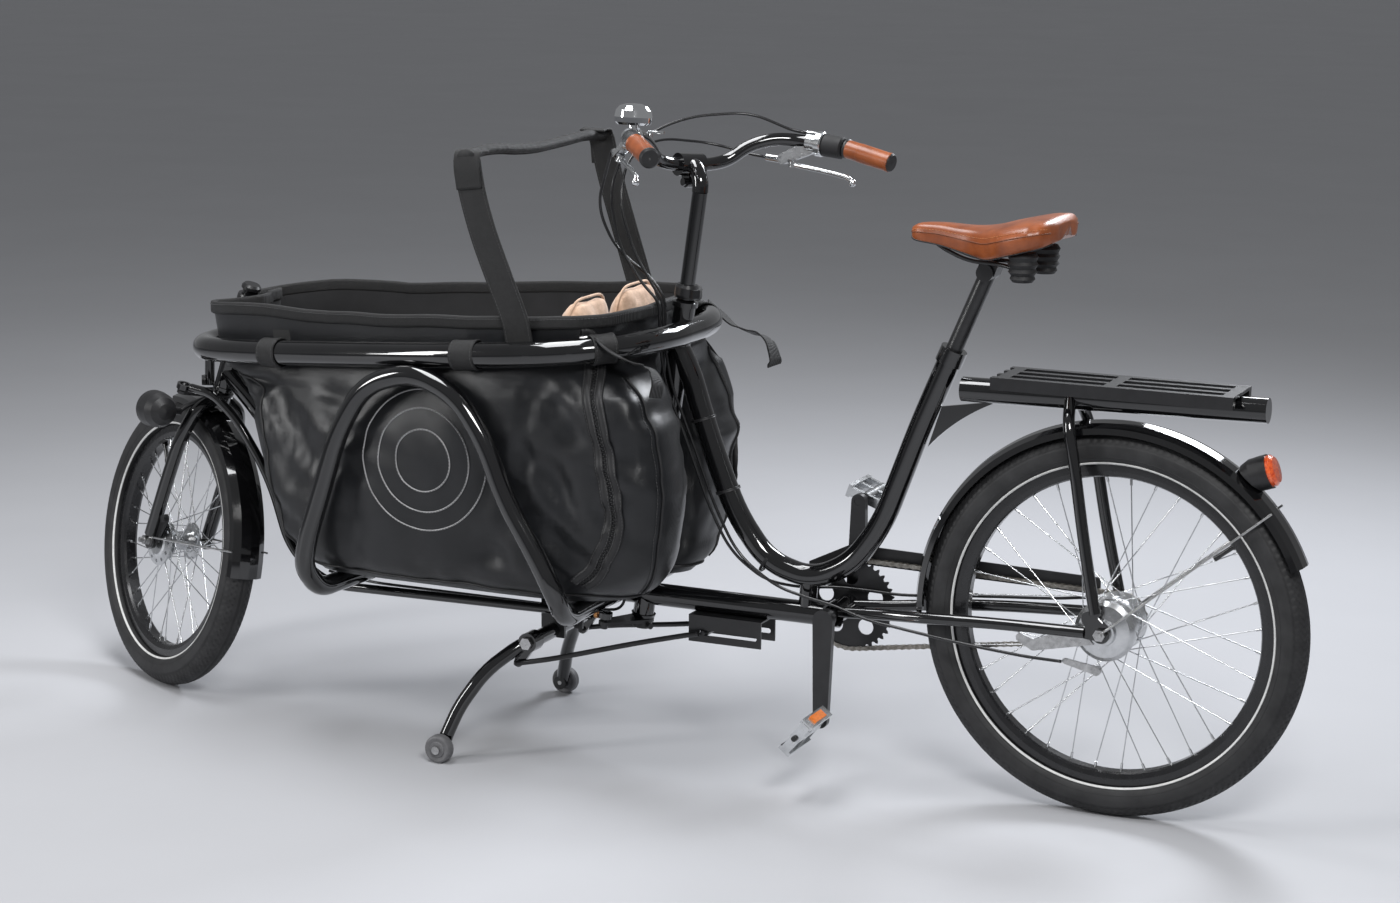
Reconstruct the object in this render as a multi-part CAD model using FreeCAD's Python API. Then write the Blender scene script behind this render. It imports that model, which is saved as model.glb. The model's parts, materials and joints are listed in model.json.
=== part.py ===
import FreeCAD, Part
import os
import math

# Front-loader cargo bicycle: long low frame, fabric cargo bag ahead of the
# rider, linkage steering.  Design frame while building: x forward, y left,
# z up, zero on the ground under the rear axle.  Every solid is moved at the
# end so that the origin is the bottom centre of the whole bicycle.
V = FreeCAD.Vector

# ---------------------------------------------------------------- dimensions
STEER = -30.3            # steering angle the bicycle stands at, + is left
# rear wheel, 24 x 2.35 (60-507)
RR_OUT, RR_SEC, RR_BEAD, RR_RIM_IN = 313.5, 30.0, 253.5, 240.0
REAR_AXLE = V(0, 0, RR_OUT)
# front wheel, 20 x 2.35 (60-406)
FR_OUT, FR_SEC, FR_BEAD, FR_RIM_IN = 263.5, 30.0, 203.0, 190.0
FORK_A = V(1762.8, 0, 259.2)             # point on the fork axis
FORK_TILT = 18.60
FORK_K = V(-math.sin(math.radians(FORK_TILT)), 0, math.cos(math.radians(FORK_TILT)))
FORK_F = V(FORK_K.z, 0, -FORK_K.x)       # forward, square to the fork axis
FORK_RAKE = 14.6
# handlebar column
COL_A = V(823.0, 0, 251.0)
COL_T = V(723.0, 0, 984.0)
COL_K = (COL_T - COL_A).normalize()
COL_F = V(COL_K.z, 0, -COL_K.x)
COL_TUBE_R, COL_SHAFT_R = 18.0, 12.7
# frame tubes
BOOM_R, BOOM_Z = 19.0, 272.0
MAIN_R = 19.0
RAIL_R = 21.0
HOOP_R = 17.0
BB = V(465.0, 0, 283.0)
BB_R, BB_W = 20.0, 68.0
CRANK = 170.0
CHAIN_Y = -47.0
RING_TEETH, SPROCKET_TEETH, PITCH = 38, 19, 12.7
# handlebar
GRIP_END = V(530.0, 239.5, 1025.7)
GRIP_IN = V(612.5, 211.0, 1043.1)
BAR_R, GRIP_R = 11.1, 16.0
# stand
STAND_PIVOT = V(980.0, 0, 196.0)
ROLLER_R, ROLLER_W = 24.0, 20.0
ROLLER = V(1093.6, 234.0, ROLLER_R)
# saddle and post
POST_T, POST_B = V(222.0, 0, 868.0), V(293.0, 0, 699.0)
POST_K = (POST_T - POST_B).normalize()
# steering linkage
ARM_R = 83.0
ARM_DEG = -4.0          # arm direction from "straight left", + is forward
# cargo bag
BAG_WALL = 5.0
BAG_FLOOR = 293.0

EX, EY, EZ = V(1, 0, 0), V(0, 1, 0), V(0, 0, 1)

# ------------------------------------------------------------------- helpers
def cyl(p, d, r, length, ri=0.0):
    d = V(d).normalize()
    s = Part.makeCylinder(r, length, p, d)
    if ri > 0:
        s = s.cut(Part.makeCylinder(ri, length + 2, p - d, d))
    return s

def rod(p, q, r, ri=0.0):
    return cyl(p, q - p, r, (q - p).Length, ri)

def cone(p, d, r1, r2, length):
    return Part.makeCone(r1, r2, length, p, V(d).normalize())

def fuse(items):
    items = list(items)
    out = items[0]
    if len(items) > 1:
        out = out.multiFuse(items[1:])
    out = out.removeSplitter()
    return out

def box(c, sx, sy, sz, axis=None, deg=0.0):
    s = Part.makeBox(sx, sy, sz, c - V(sx / 2, sy / 2, sz / 2))
    if axis is not None:
        s.rotate(c, axis, deg)
    return s

def mirror(s):
    return s.mirror(V(0, 0, 0), EY)

def both(s):
    return Part.makeCompound([s, mirror(s)])

def seg_elements(pts, radii=None, closed=False, factor=0.45):
    """Straight runs joined by tangent arcs: list of ('L', p, q) and
    ('A', p, centre, axis, degrees, radius)."""
    n = len(pts)
    P = [V(p) for p in pts]
    idx = range(n) if closed else range(1, n - 1)
    arcs = {}
    for i in idx:
        a, b, c = P[(i - 1) % n], P[i], P[(i + 1) % n]
        u, v = (b - a), (c - b)
        lu, lv = u.Length, v.Length
        u, v = u.normalize(), v.normalize()
        turn = math.acos(max(-1, min(1, u.dot(v))))
        if turn < 1e-4:
            continue
        t = factor * min(lu, lv)
        r = t / math.tan(turn / 2)
        if radii is not None and radii[i] is not None:
            r = min(r / factor * 0.49, radii[i])
            t = r * math.tan(turn / 2)
        s, e = b - u * t, b + v * t
        ax = u.cross(v).normalize()
        centre = s + ax.cross(u).normalize() * r
        arcs[i] = (s, e, centre, ax, math.degrees(turn), r)
    out = []
    order = list(range(n)) + ([0] if closed else [])
    cur = None
    for k, i in enumerate(order):
        if k == 0:
            cur = arcs[i][1] if (closed and i in arcs) else P[i]
            continue
        if i in arcs:
            s, e, c, ax, deg, r = arcs[i]
            if (s - cur).Length > 1e-3:
                out.append(('L', cur, s))
            out.append(('A', s, c, ax, deg, r))
            cur = e
        else:
            if (P[i] - cur).Length > 1e-3:
                out.append(('L', cur, P[i]))
            cur = P[i]
    return out

def disc_face(p, d, r, ri):
    f = Part.Face(Part.Wire(Part.makeCircle(r, p, d)))
    if ri > 0:
        f = f.cut(Part.Face(Part.Wire(Part.makeCircle(ri, p, d))))
    return f

def pipe(pts, r, ri=0.0, radii=None, closed=False, factor=0.45, report=None):
    els = seg_elements(pts, radii, closed, factor)
    pieces, length, rads = [], 0.0, []
    for e in els:
        if e[0] == 'L':
            pieces.append(rod(e[1], e[2], r, ri))
            length += (e[2] - e[1]).Length
        else:
            _, s, c, ax, deg, rad = e
            d = ax.cross(s - c).normalize()
            pieces.append(disc_face(s, d, r, ri).revolve(c, ax, deg))
            length += math.radians(deg) * rad
            rads.append(round(rad, 1))
    pieces = [p if p.ShapeType == 'Solid' else p.Solids[0] for p in pieces]
    out = fuse(pieces)
    if len(out.Solids) == 1:
        out = out.Solids[0]
    want = math.pi * (r * r - ri * ri) * length
    if report:
        print(report, 'volume/expected %.4f' % (out.Volume / want), 'length %.0f' % length,
              'radii', rads, 'valid', out.isValid(), 'solids', len(out.Solids))
    return out

def ring(centre, axis, profile):
    """Revolve a closed (radius, axial) polygon about an axis."""
    axis = V(axis).normalize()
    side = axis.cross(EX)
    if side.Length < 0.1:
        side = axis.cross(EZ)
    side.normalize()
    pts = [centre + side * a + axis * b for a, b in profile]
    w = Part.makePolygon(pts + [pts[0]])
    return Part.Face(w).revolve(centre, axis, 360)

def plate(pts, d, t):
    """Flat plate: polygon of points, extruded t along d."""
    w = Part.makePolygon([V(p) for p in pts] + [V(pts[0])])
    return Part.Face(w).extrude(V(d).normalize() * t)

def link_plate(p, q, r1, r2, d, t):
    """Two rounded ends joined by straight flanks, thickness t about the line."""
    d = V(d).normalize()
    u = (q - p)
    length = u.Length
    u.normalize()
    w = d.cross(u)
    a = math.asin(max(-1, min(1, (r1 - r2) / length)))
    o = [p + (u * math.sin(a) + w * math.cos(a)) * r1, q + (u * math.sin(a) + w * math.cos(a)) * r2,
         q + (u * math.sin(a) - w * math.cos(a)) * r2, p + (u * math.sin(a) - w * math.cos(a)) * r1]
    e = [Part.LineSegment(o[0], o[1]).toShape(), Part.Arc(o[1], q + u * r2, o[2]).toShape(),
         Part.LineSegment(o[2], o[3]).toShape(), Part.Arc(o[3], p - u * r1, o[0]).toShape()]
    f = Part.Face(Part.Wire(e))
    f.translate(d * (-t / 2))
    return f.extrude(d * t)

def bolt(p, d, r, head, length, hr=None):
    """Hexagon head with a shank, head on the outside of d."""
    d = V(d).normalize()
    hr = hr or r * 1.75
    side = d.cross(EZ)
    if side.Length < 0.2:
        side = d.cross(EX)
    side.normalize()
    up = d.cross(side)
    pts = [p + side * hr * math.cos(math.radians(60 * i)) + up * hr * math.sin(math.radians(60 * i)) for i in range(6)]
    h = Part.Face(Part.makePolygon(pts + [pts[0]])).extrude(d * head)
    if length <= 0:
        return h
    return h.fuse(cyl(p - d * length, d, r, length))

def turned(s, point, axis, deg):
    s = s.copy()
    s.rotate(point, axis, deg)
    return s

def steer_col(s):
    return turned(s, COL_A, COL_K, STEER)

def steer_fork(s):
    return turned(s, FORK_A, FORK_K, STEER)

def pt_turn(p, point, axis, deg):
    return point + FreeCAD.Rotation(axis, deg).multVec(p - point)

def fk_pt(f, l, s):
    """Point in fork coordinates: forward, left, up along the fork axis."""
    return FORK_A + FORK_F * f + EY * l + FORK_K * s

def col_pt(f, l, s):
    return COL_A + COL_F * f + EY * l + COL_K * s

NODES = []
def add(name, shape):
    NODES.append((name, shape))

# ------------------------------------------------- front wheel centre height
n_t = FreeCAD.Rotation(FORK_K, STEER).multVec(EY)
drop = (FR_OUT - FR_SEC) * math.sqrt(1 - n_t.z ** 2) + FR_SEC
c0 = FORK_A + FORK_F * FORK_RAKE
c0s = pt_turn(c0, FORK_A, FORK_K, STEER)
FORK_SHIFT = (drop - c0s.z) / FORK_K.z          # slide along the fork axis
S_AXLE = FORK_SHIFT                              # axle height along the axis
FRONT_C = fk_pt(FORK_RAKE, 0, S_AXLE)            # straight-ahead wheel centre

# =================================================================== WHEELS
def tyre(c, axis, rout, sec, bead):
    """Open carcass: outer tread arc, inner arc, two beads."""
    rc = rout - sec + 0.5
    ro, ri = sec - 0.5, sec - 4.5
    rb = bead + 9.1                       # where the wall leaves the rim flange
    def arc_pt(rad, h):
        return math.sqrt(max(rad * rad - (rc - h) ** 2, 0))
    yo, yi = arc_pt(ro, rb), arc_pt(ri, bead + 15.5)
    axis = V(axis)
    side = V(1, 0, 0)
    def q(a, b):
        return c + side * a + axis * b
    pts = []
    e = [Part.Arc(q(rb, yo), q(rc + ro, 0), q(rb, -yo)).toShape()]
    lower = [(rb, -yo), (rb, -12.2), (bead + 0.4, -12.2), (bead + 0.4, -9.0), (bead + 10.5, -9.0), (bead + 15.5, -yi)]
    for a, b in zip(lower[:-1], lower[1:]):
        e.append(Part.LineSegment(q(*a), q(*b)).toShape())
    e.append(Part.Arc(q(bead + 15.5, -yi), q(rc + ri, 0), q(bead + 15.5, yi)).toShape())
    upper = [(a, -b) for a, b in reversed(lower)]
    for a, b in zip(upper[:-1], upper[1:]):
        e.append(Part.LineSegment(q(*a), q(*b)).toShape())
    return Part.Face(Part.Wire(Part.__sortEdges__(e))).revolve(c, axis, 360)

def rim(c, axis, bead, rin):
    """Box rim with two flanges, hollow chamber."""
    prof = [(rin, -9), (rin + 2.5, -13.5), (bead - 3, -15.2), (bead + 9, -15.2), (bead + 9, -12.4),
            (bead + 1.5, -12.4), (bead, -11.0), (bead, -8), (bead - 4, -5), (bead - 4, 5), (bead, 8), (bead, 11.0),
            (bead + 1.5, 12.4), (bead + 9, 12.4), (bead + 9, 15.2), (bead - 3, 15.2), (rin + 2.5, 13.5), (rin, 9)]
    outer = ring(c, axis, prof)
    hol = ring(c, axis, [(rin + 1.6, -8), (rin + 3.6, -11.8), (bead - 5.6, -12.6), (bead - 5.6, 12.6), (rin + 3.6, 11.8), (rin + 1.6, 8)])
    return outer.cut(hol)

def spokes(c, axis, n, flange_r, flange_y, rim_r, dia=2.0, cross=3, phase=0.0):
    out = []
    axis = V(axis)
    a0 = axis.cross(EZ)
    if a0.Length < 0.2:
        a0 = axis.cross(EX)
    a0.normalize()
    b0 = axis.cross(a0)
    per = n // 2
    for sgn in (1, -1):
        for i in range(per):
            th = 2 * math.pi * (i + (0.25 if sgn > 0 else 0.75)) / per + phase
            lead = 1 if i % 2 == 0 else -1
            swing = lead * cross * 2 * math.pi / per * 0.97
            hub_th = th + swing
            hy = sgn * (flange_y[0 if sgn > 0 else 1] + lead * 2.7)
            p = c + (a0 * math.cos(hub_th) + b0 * math.sin(hub_th)) * flange_r + axis * hy
            q = c + (a0 * math.cos(th) + b0 * math.sin(th)) * (rim_r + 0.3) + axis * (sgn * 3.2)
            out.append(rod(p, q, dia / 2))
            d = (p - q).normalize()
            out[-1] = out[-1].fuse(cyl(q, d, dia / 2 + 1.1, 11.0))
    return Part.makeCompound([s.Solids[0] for s in out])

def valve(c, axis, rin, ang, axis_y=0.0):
    axis = V(axis)
    d = V(math.cos(math.radians(ang)), 0, math.sin(math.radians(ang)))
    p = c + d * (rin - 0.1)
    v = fuse([cyl(p, -d, 4.0, 30.0), cyl(p, -d, 5.5, 4.0), cyl(p - d * 30.0, -d, 4.8, 9.0)])
    return v

# rear wheel ---------------------------------------------------------------
add('rear_tyre', tyre(REAR_AXLE, EY, RR_OUT, RR_SEC, RR_BEAD))
add('rear_rim', rim(REAR_AXLE, EY, RR_BEAD, RR_RIM_IN))
add('rear_spokes', spokes(REAR_AXLE, EY, 36, 43.0, (25.0, 27.0), RR_RIM_IN))
hub = fuse([
    ring(REAR_AXLE, EY, [(7.0, -36), (34, -36), (37, -33), (47.5, -30.4), (47.5, -27.6), (40, -25), (38, -10), (37, 14),
                          (39, 22), (47.5, 23.6), (47.5, 26.4), (40, 29), (36, 33), (30, 35), (7.0, 35)])])
add('rear_hub_shell', hub)
add('rear_valve', valve(REAR_AXLE, EY, RR_RIM_IN, 142.0))
# front wheel (built straight ahead, turned with the fork) ------------------
def in_fork(s):
    """Straight-ahead front wheel parts are built upright; turn them with the fork."""
    return steer_fork(s)
add('front_tyre', in_fork(tyre(FRONT_C, EY, FR_OUT, FR_SEC, FR_BEAD)))
add('front_rim', in_fork(rim(FRONT_C, EY, FR_BEAD, FR_RIM_IN)))
fsp = spokes(FRONT_C, EY, 36, 30.0, (22.0, 26.0), FR_RIM_IN, phase=0.06)
add('front_spokes', Part.makeCompound([in_fork(s) for s in fsp.Solids]))
fhub = ring(FRONT_C, EY, [(6.5, -34), (20, -34), (22, -30), (34, -28.5), (34, -25.8), (21, -24), (17.5, -12), (17.5, 8),
                           (21, 18), (34, 20.6), (34, 23.4), (27, 25), (27, 32), (6.5, 32)])
add('front_hub_shell', in_fork(fhub))
add('front_valve', in_fork(valve(FRONT_C, EY, FR_RIM_IN, 62.0)))

# ==================================================================== FRAME
col_outer = rod(col_pt(0, 0, -14), col_pt(0, 0, 524), COL_TUBE_R)
col_tube = rod(col_pt(0, 0, -14), col_pt(0, 0, 524), COL_TUBE_R, COL_TUBE_R - 3.6)
add('column_head_tube', col_tube)

# swan-neck main tube from the column head tube down and up to the saddle
main_pts = [V(766, 0, 706), V(739, 0, 655), V(716, 0, 583), V(688, 0, 508), V(652, 0, 424), V(596, 0, 352), V(515, 0, 330),
            V(446, 0, 364), V(394, 0, 436), V(361, 0, 525), V(331, 0, 607), V(283.3, 0, 722)]
main_outer_path = main_pts
main = pipe(main_pts, MAIN_R, MAIN_R - 2.0, report='main_tube')
main = main.cut(col_outer)
main = sorted(main.Solids, key=lambda s: -s.Volume)[0]

# boom from the bottom bracket forward under the bag and up to the fork
boom_pts = [V(BB.x, 0, BOOM_Z + 6), V(640, 0, BOOM_Z + 2), V(820, 0, BOOM_Z), V(1180, 0, BOOM_Z), V(1372, 0, BOOM_Z), V(1456, 0, 292), V(1502, 0, 420),
            V(1592, 0, 530), V(1650, 0, 588)]
boom_pts = [V(BB.x, 0, BOOM_Z), V(1376, 0, BOOM_Z), V(1458, 0, 296), V(1503, 0, 420), V(1590, 0, 528), fk_pt(0, 0, 348)]
boom = pipe(boom_pts, BOOM_R, BOOM_R - 2.0, report='boom')
head_outer = rod(fk_pt(0, 0, 318), fk_pt(0, 0, 460), 18.5)
head_tube = rod(fk_pt(0, 0, 318), fk_pt(0, 0, 460), 18.5, 15.6)
bb_outer = rod(BB - EY * BB_W / 2, BB + EY * BB_W / 2, BB_R)
boom = boom.cut(fuse([head_outer])).cut(bb_outer).cut(col_outer)
boom = sorted(boom.Solids, key=lambda s: -s.Volume)
print('boom parts', len(boom))
boom_main = boom[0]
strut = rod(V(524, 0, BOOM_Z + 10), V(520, 0, 350), 15, 13)
boom_solid = rod(V(BB.x + 10, 0, BOOM_Z), V(1300, 0, BOOM_Z), BOOM_R)
main_solid = pipe(main_pts, MAIN_R)
strut = sorted(strut.cut(boom_solid).cut(main_solid).Solids, key=lambda s: -s.Volume)[0]
add('main_tube', main)
if len(boom) > 1 and boom[1].Volume > 3000:
    # the column head tube passes right through: the pieces stay one welded tube
    add('boom_tube', Part.makeCompound(boom[:2]) if False else boom[0])
    add('boom_tail', boom[1])
else:
    add('boom_tube', boom_main)
add('boom_strut', strut)
add('bottom_bracket_shell', rod(BB - EY * BB_W / 2, BB + EY * BB_W / 2, BB_R, 16.5))

# steering head of the fork
add('front_head_tube', head_tube)

# top rail: egg-shaped closed hoop, wide at the rear
def rail_z(x):
    return 727.0 - 0.090 * (x - 757.0)
rail_half = [(746, 56), (757, 114), (784, 174), (824, 214), (882, 238), (952, 247), (1040, 245), (1130, 236), (1290, 211), (1467, 176), (1550, 152),
             (1616, 124), (1652, 76), (1662, 25)]
rail_pts = [V(x, y, rail_z(x)) for x, y in rail_half] + [V(x, -y, rail_z(x)) for x, y in reversed(rail_half)]
rail = pipe(rail_pts, RAIL_R, RAIL_R - 1.8, closed=True, report='top_rail')
rail = rail.cut(col_outer).cut(head_outer).cut(main_solid)
rail = sorted(rail.Solids, key=lambda s: -s.Volume)
print('rail solids', len(rail), [round(s.Volume) for s in rail])
add('top_rail', rail[0])

strut_f = rod(V(1693, 0, 560), V(1690, 0, 650), 9, 7.2).cut(pipe(rail_pts, RAIL_R, closed=True)).cut(head_outer)
strut_f = fuse([sorted(strut_f.Solids, key=lambda s: -s.Volume)[0], box(V(1699, 0, 569), 8, 22, 18)]).cut(rod(V(1693, 0, 550), V(1690, 0, 650), 7.2))
add('front_strut', sorted(strut_f.Solids, key=lambda s: -s.Volume)[0])

# side hoops: inverted U, feet turned in under the bag to the boom
rail_solid = pipe(rail_pts, RAIL_R, closed=True)
def hoop(side):
    y = 258.0
    p = [V(868, 12, 271), V(874, 110, 271), V(868, 212, 270), V(862, y, 322), V(900, y, 388), V(955, y, 473), V(990, y, 565), V(1043, y, 638), V(1122, y, 669),
         V(1214, y, 643), V(1266, y, 562), V(1300, y, 457), V(1331, y, 368), V(1340, y, 318), V(1338, 214, 270), V(1330, 110, 271), V(1322, 12, 271)]
    p = [V(a.x, a.y * side, a.z) for a in p]
    r = [None] * len(p)
    h = pipe(p, HOOP_R, HOOP_R - 1.8, report='hoop')
    h = h.cut(boom_solid).cut(rod(V(1200, 0, BOOM_Z), V(1376, 0, BOOM_Z), BOOM_R)).cut(rail_solid)
    return sorted(h.Solids, key=lambda s: -s.Volume)[0]
add('side_hoop_left', hoop(1))
add('side_hoop_right', hoop(-1))

# rear triangle: chain stays and carrier stays, dropouts
cs_pts = [V(455, 26, 286), V(372, 32, 293), V(300, 50, 300), V(200, 58, 307), V(96, 64, 311), V(26, 68, 313)]
cs = pipe(cs_pts, 9.5, 7.7, report='chain_stay').cut(bb_outer)
cs = sorted(cs.Solids, key=lambda s: -s.Volume)[0]
add('chain_stays', both(cs))
spine_p, spine_q = V(262, 0, 671), V(-228, 0, 678)
spine_solid = rod(spine_p, spine_q, 20)
st_pts = [V(79, 14, 672), V(71, 48, 640), V(57, 56, 582), V(36, 61, 461), V(11, 68, 345)]
ss = pipe(st_pts, 9.5, 7.7, report='carrier_stay').cut(spine_solid)
ss = sorted(ss.Solids, key=lambda s: -s.Volume)[0]
add('carrier_stays', both(ss))
dx = link_plate(V(0, 68, RR_OUT), V(20, 68, 336), 15, 12, EY, 5.0)
dx = dx.fuse(link_plate(V(20, 68, 336), V(11, 68, 346), 10, 9, EY, 5.0)).fuse(link_plate(V(0, 68, RR_OUT), V(30, 68, 313), 12, 9, EY, 5.0))
dx = dx.cut(cyl(V(0, 50, RR_OUT), EY, 5.05, 40)).cut(pipe(cs_pts, 9.5)).cut(pipe(st_pts, 9.5))
dx = sorted(dx.removeSplitter().Solids, key=lambda s: -s.Volume)[0]
add('rear_dropouts', both(dx))

# carrier spine with end plug, gusset and luggage rack
spine = rod(spine_p, spine_q, 20, 18).cut(main_solid)
spine = sorted(spine.Solids, key=lambda s: -s.Volume)[0]
add('carrier_spine', spine)
add('spine_end_plug', fuse([cyl(spine_q, spine_q - spine_p, 20, 4), cyl(spine_q, spine_p - spine_q, 17.9, 18)]))
gus = Part.Face(Part.Wire([Part.LineSegment(V(296, -3, 640), V(200, -3, 656)).toShape(),
                           Part.Arc(V(200, -3, 656), V(262, -3, 622), V(318, -3, 572)).toShape(),
                           Part.LineSegment(V(318, -3, 572), V(296, -3, 640)).toShape()])).extrude(EY * 6)
gus = gus.cut(main_solid).cut(spine_solid)
gus = sorted(gus.Solids, key=lambda s: -s.Volume)[0]
add('spine_gusset', gus)
rk = []
for y in (-50, 50):
    rk.append(Part.makeBox(388, 14, 20, V(-190, y - 7, 684)))
for y in (-17, 17):
    rk.append(Part.makeBox(388, 12, 5, V(-190, y - 6, 699)))
for x in (-186, 2, 174):
    rk.append(Part.makeBox(20, 106, 5, V(x - 4, -53, 699)))
rack = fuse(rk).cut(spine_solid)
rack = sorted(rack.Solids, key=lambda q: -q.Volume)[0]
rack = rack.makeFillet(2.0, [e for e in rack.Edges if abs(e.BoundBox.ZMax - e.BoundBox.ZMin) < 0.1 and e.BoundBox.ZMin > 707]) if False else rack
add('luggage_rack', rack)
blk = []
for x in (-165, 168):
    q = fuse([Part.makeBox(20, 86, 5, V(x - 10, -43, 685)), Part.makeBox(20, 30, 14, V(x - 10, -15, 684.5))]).cut(spine_solid).cut(rack)
    blk += [p for p in q.Solids if p.Volume > 400]
add('rack_brackets', Part.makeCompound(blk))

# fenders: shallow curved strip about the axle
def fender(c, rad, half, a0, a1, t=1.8, skirt=16.0):
    """Arc section swept from a0 to a1 degrees (0 = forward, 90 = up)."""
    out = [(rad - skirt, half), (rad - skirt * 0.4, half * 0.93), (rad, half * 0.55), (rad + 3, 0)]
    prof = out + [(a, -b) for a, b in reversed(out[:-1])]
    inner = [(a - t * (0.25 if abs(b) > half * 0.9 else 1.0), b - (t if b > 0.5 * half else 0) + (t if b < -0.5 * half else 0)) for a, b in prof]
    d = V(math.cos(math.radians(a0)), 0, math.sin(math.radians(a0)))
    pts = [c + d * a + EY * b for a, b in prof] + [c + d * a + EY * b for a, b in reversed(inner)]
    f = Part.Face(Part.makePolygon(pts + [pts[0]]))
    return f.revolve(c, V(0, -1, 0), a1 - a0)
rf = fender(REAR_AXLE, 327, 33, -3, 157)
rf = rf.cut(Part.makeBox(40, 200, 60, V(290, -100, 262)).cut(Part.makeBox(40, 62, 80, V(290, -31, 255))))
add('rear_fender', sorted(rf.Solids, key=lambda s: -s.Volume)[0])
ff = fender(FRONT_C, 271.5, 33, 86, 186)
add('front_fender', in_fork(ff))

# front wheel fork --------------------------------------------------------
s0 = S_AXLE
leg = pipe([fk_pt(FORK_RAKE, 58, s0 + 12), fk_pt(9, 58, s0 + 130), fk_pt(3, 57, s0 + 215), fk_pt(0, 42, s0 + 272), fk_pt(0, 14, s0 + 291), fk_pt(0, 0, s0 + 291)],
           12.5, 10.5, report='fork_leg')
steerer = rod(fk_pt(0, 0, s0 + 291), fk_pt(0, 0, 506), 14.3, 12.3)
crown = rod(fk_pt(0, 0, s0 + 281), fk_pt(0, 0, s0 + 303.8), 17)
tip = link_plate(fk_pt(FORK_RAKE, 58, s0), fk_pt(FORK_RAKE, 58, s0 + 24), 15, 11, EY, 6)
tip = tip.cut(cyl(fk_pt(FORK_RAKE, 40, s0), EY, 4.85, 40))
fork = fuse([leg, mirror(leg), steerer, crown.cut(rod(fk_pt(0, 0, s0 + 303), fk_pt(0, 0, s0 + 320), 12.3)), tip, mirror(tip)])
fork = fork.cut(cyl(fk_pt(FORK_RAKE, -80, s0), EY, 4.85, 160).cut(cyl(fk_pt(FORK_RAKE, -50, s0), EY, 20, 100)))
print('fork solids', len(fork.Solids), fork.isValid())
add('fork', steer_fork(sorted(fork.Solids, key=lambda s: -s.Volume)[0]))
ax = fuse([cyl(fk_pt(FORK_RAKE, -66, s0), EY, 4.8, 132)])
nutF = [cyl(fk_pt(FORK_RAKE, 61.1 * s, s0), EY * s, 9, 2) for s in (1, -1)]
ax = fuse([ax] + [bolt(fk_pt(FORK_RAKE, 63.1 * s, s0), EY * s, 4.8, 8, 0, hr=9) for s in (1, -1)] + nutF +
          [cyl(fk_pt(FORK_RAKE, 66, s0), EY, 4.8, 13)])
add('front_axle', steer_fork(ax))
# roller brake cooling disc and arm on the left of the front hub
fb = fuse([ring(FRONT_C, EY, [(5.4, 33), (24, 33), (46, 36), (46, 39), (30, 42), (26, 44.6), (5.4, 44.6)])])
fb = fb.cut(Part.makeCompound([cyl(FRONT_C + V(38 * math.cos(a), 30, 38 * math.sin(a)), EY, 3.2, 20) for a in [math.pi * i / 6 for i in range(12)]]))
add('front_brake_unit', steer_fork(fb))
fba = fuse([link_plate(FRONT_C + V(0, 53, 0), fk_pt(-14, 53, s0 + 58), 16, 8, EY, 4.4).cut(cyl(FRONT_C + V(0, 40, 0), EY, 5.4, 30)),
            cyl(fk_pt(-14, 51, s0 + 58), EY, 7, 10)])
fba = fba.cut(leg)
add('front_brake_arm', steer_fork(sorted(fba.Solids, key=lambda s: -s.Volume)[0]))

# headset of the fork
hs = [ring(fk_pt(0, 0, 0), FORK_K, [(14.35, 312.5), (20.5, 312.5), (20.5, 318), (14.35, 318)]),
      ring(fk_pt(0, 0, 0), FORK_K, [(14.35, 460), (20.5, 460), (20.5, 469), (14.35, 469)])]
add('fork_headset_cups', Part.makeCompound(hs))
cl = fuse([ring(fk_pt(0, 0, 0), FORK_K, [(14.3, 470), (19.5, 470), (20.5, 474), (20.5, 494), (19.5, 497), (14.3, 497)]),
           box(fk_pt(-22, 0, 484), 14, 16, 20, V(0, 1, 0), -FORK_TILT)]).cut(rod(fk_pt(0, 0, 460), fk_pt(0, 0, 510), 14.3))
add('steerer_clamp', steer_fork(sorted(cl.Solids, key=lambda s: -s.Volume)[0]))
cap = fuse([ring(fk_pt(0, 0, 0), FORK_K, [(0, 506), (14.3, 506), (17.5, 508), (17.5, 513), (14, 517), (0, 517)])])
add('steerer_cap', steer_fork(cap))

# fork steering arm, left, at the crown
S_ARM = s0 + 304.0
adir = FORK_F * math.sin(math.radians(ARM_DEG)) + EY * math.cos(math.radians(ARM_DEG))
FA_BALL0 = fk_pt(0, 0, S_ARM + 13.0) + adir * ARM_R
fa = fuse([link_plate(fk_pt(0, 0, S_ARM + 2.5), fk_pt(0, 0, S_ARM + 2.5) + adir * ARM_R, 19.5, 10, FORK_K, 5)])
fa = fa.cut(rod(fk_pt(0, 0, S_ARM - 10), fk_pt(0, 0, S_ARM + 20), 14.3)).cut(crown)
fa = fuse([fa, cyl(FA_BALL0 - FORK_K * 12, FORK_K, 3.6, 10), Part.makeSphere(6.0, FA_BALL0), cyl(FA_BALL0 - FORK_K * 24, FORK_K, 6.5, 7)])
add('fork_steering_arm', steer_fork(sorted(fa.Solids, key=lambda s: -s.Volume)[0]))

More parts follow.
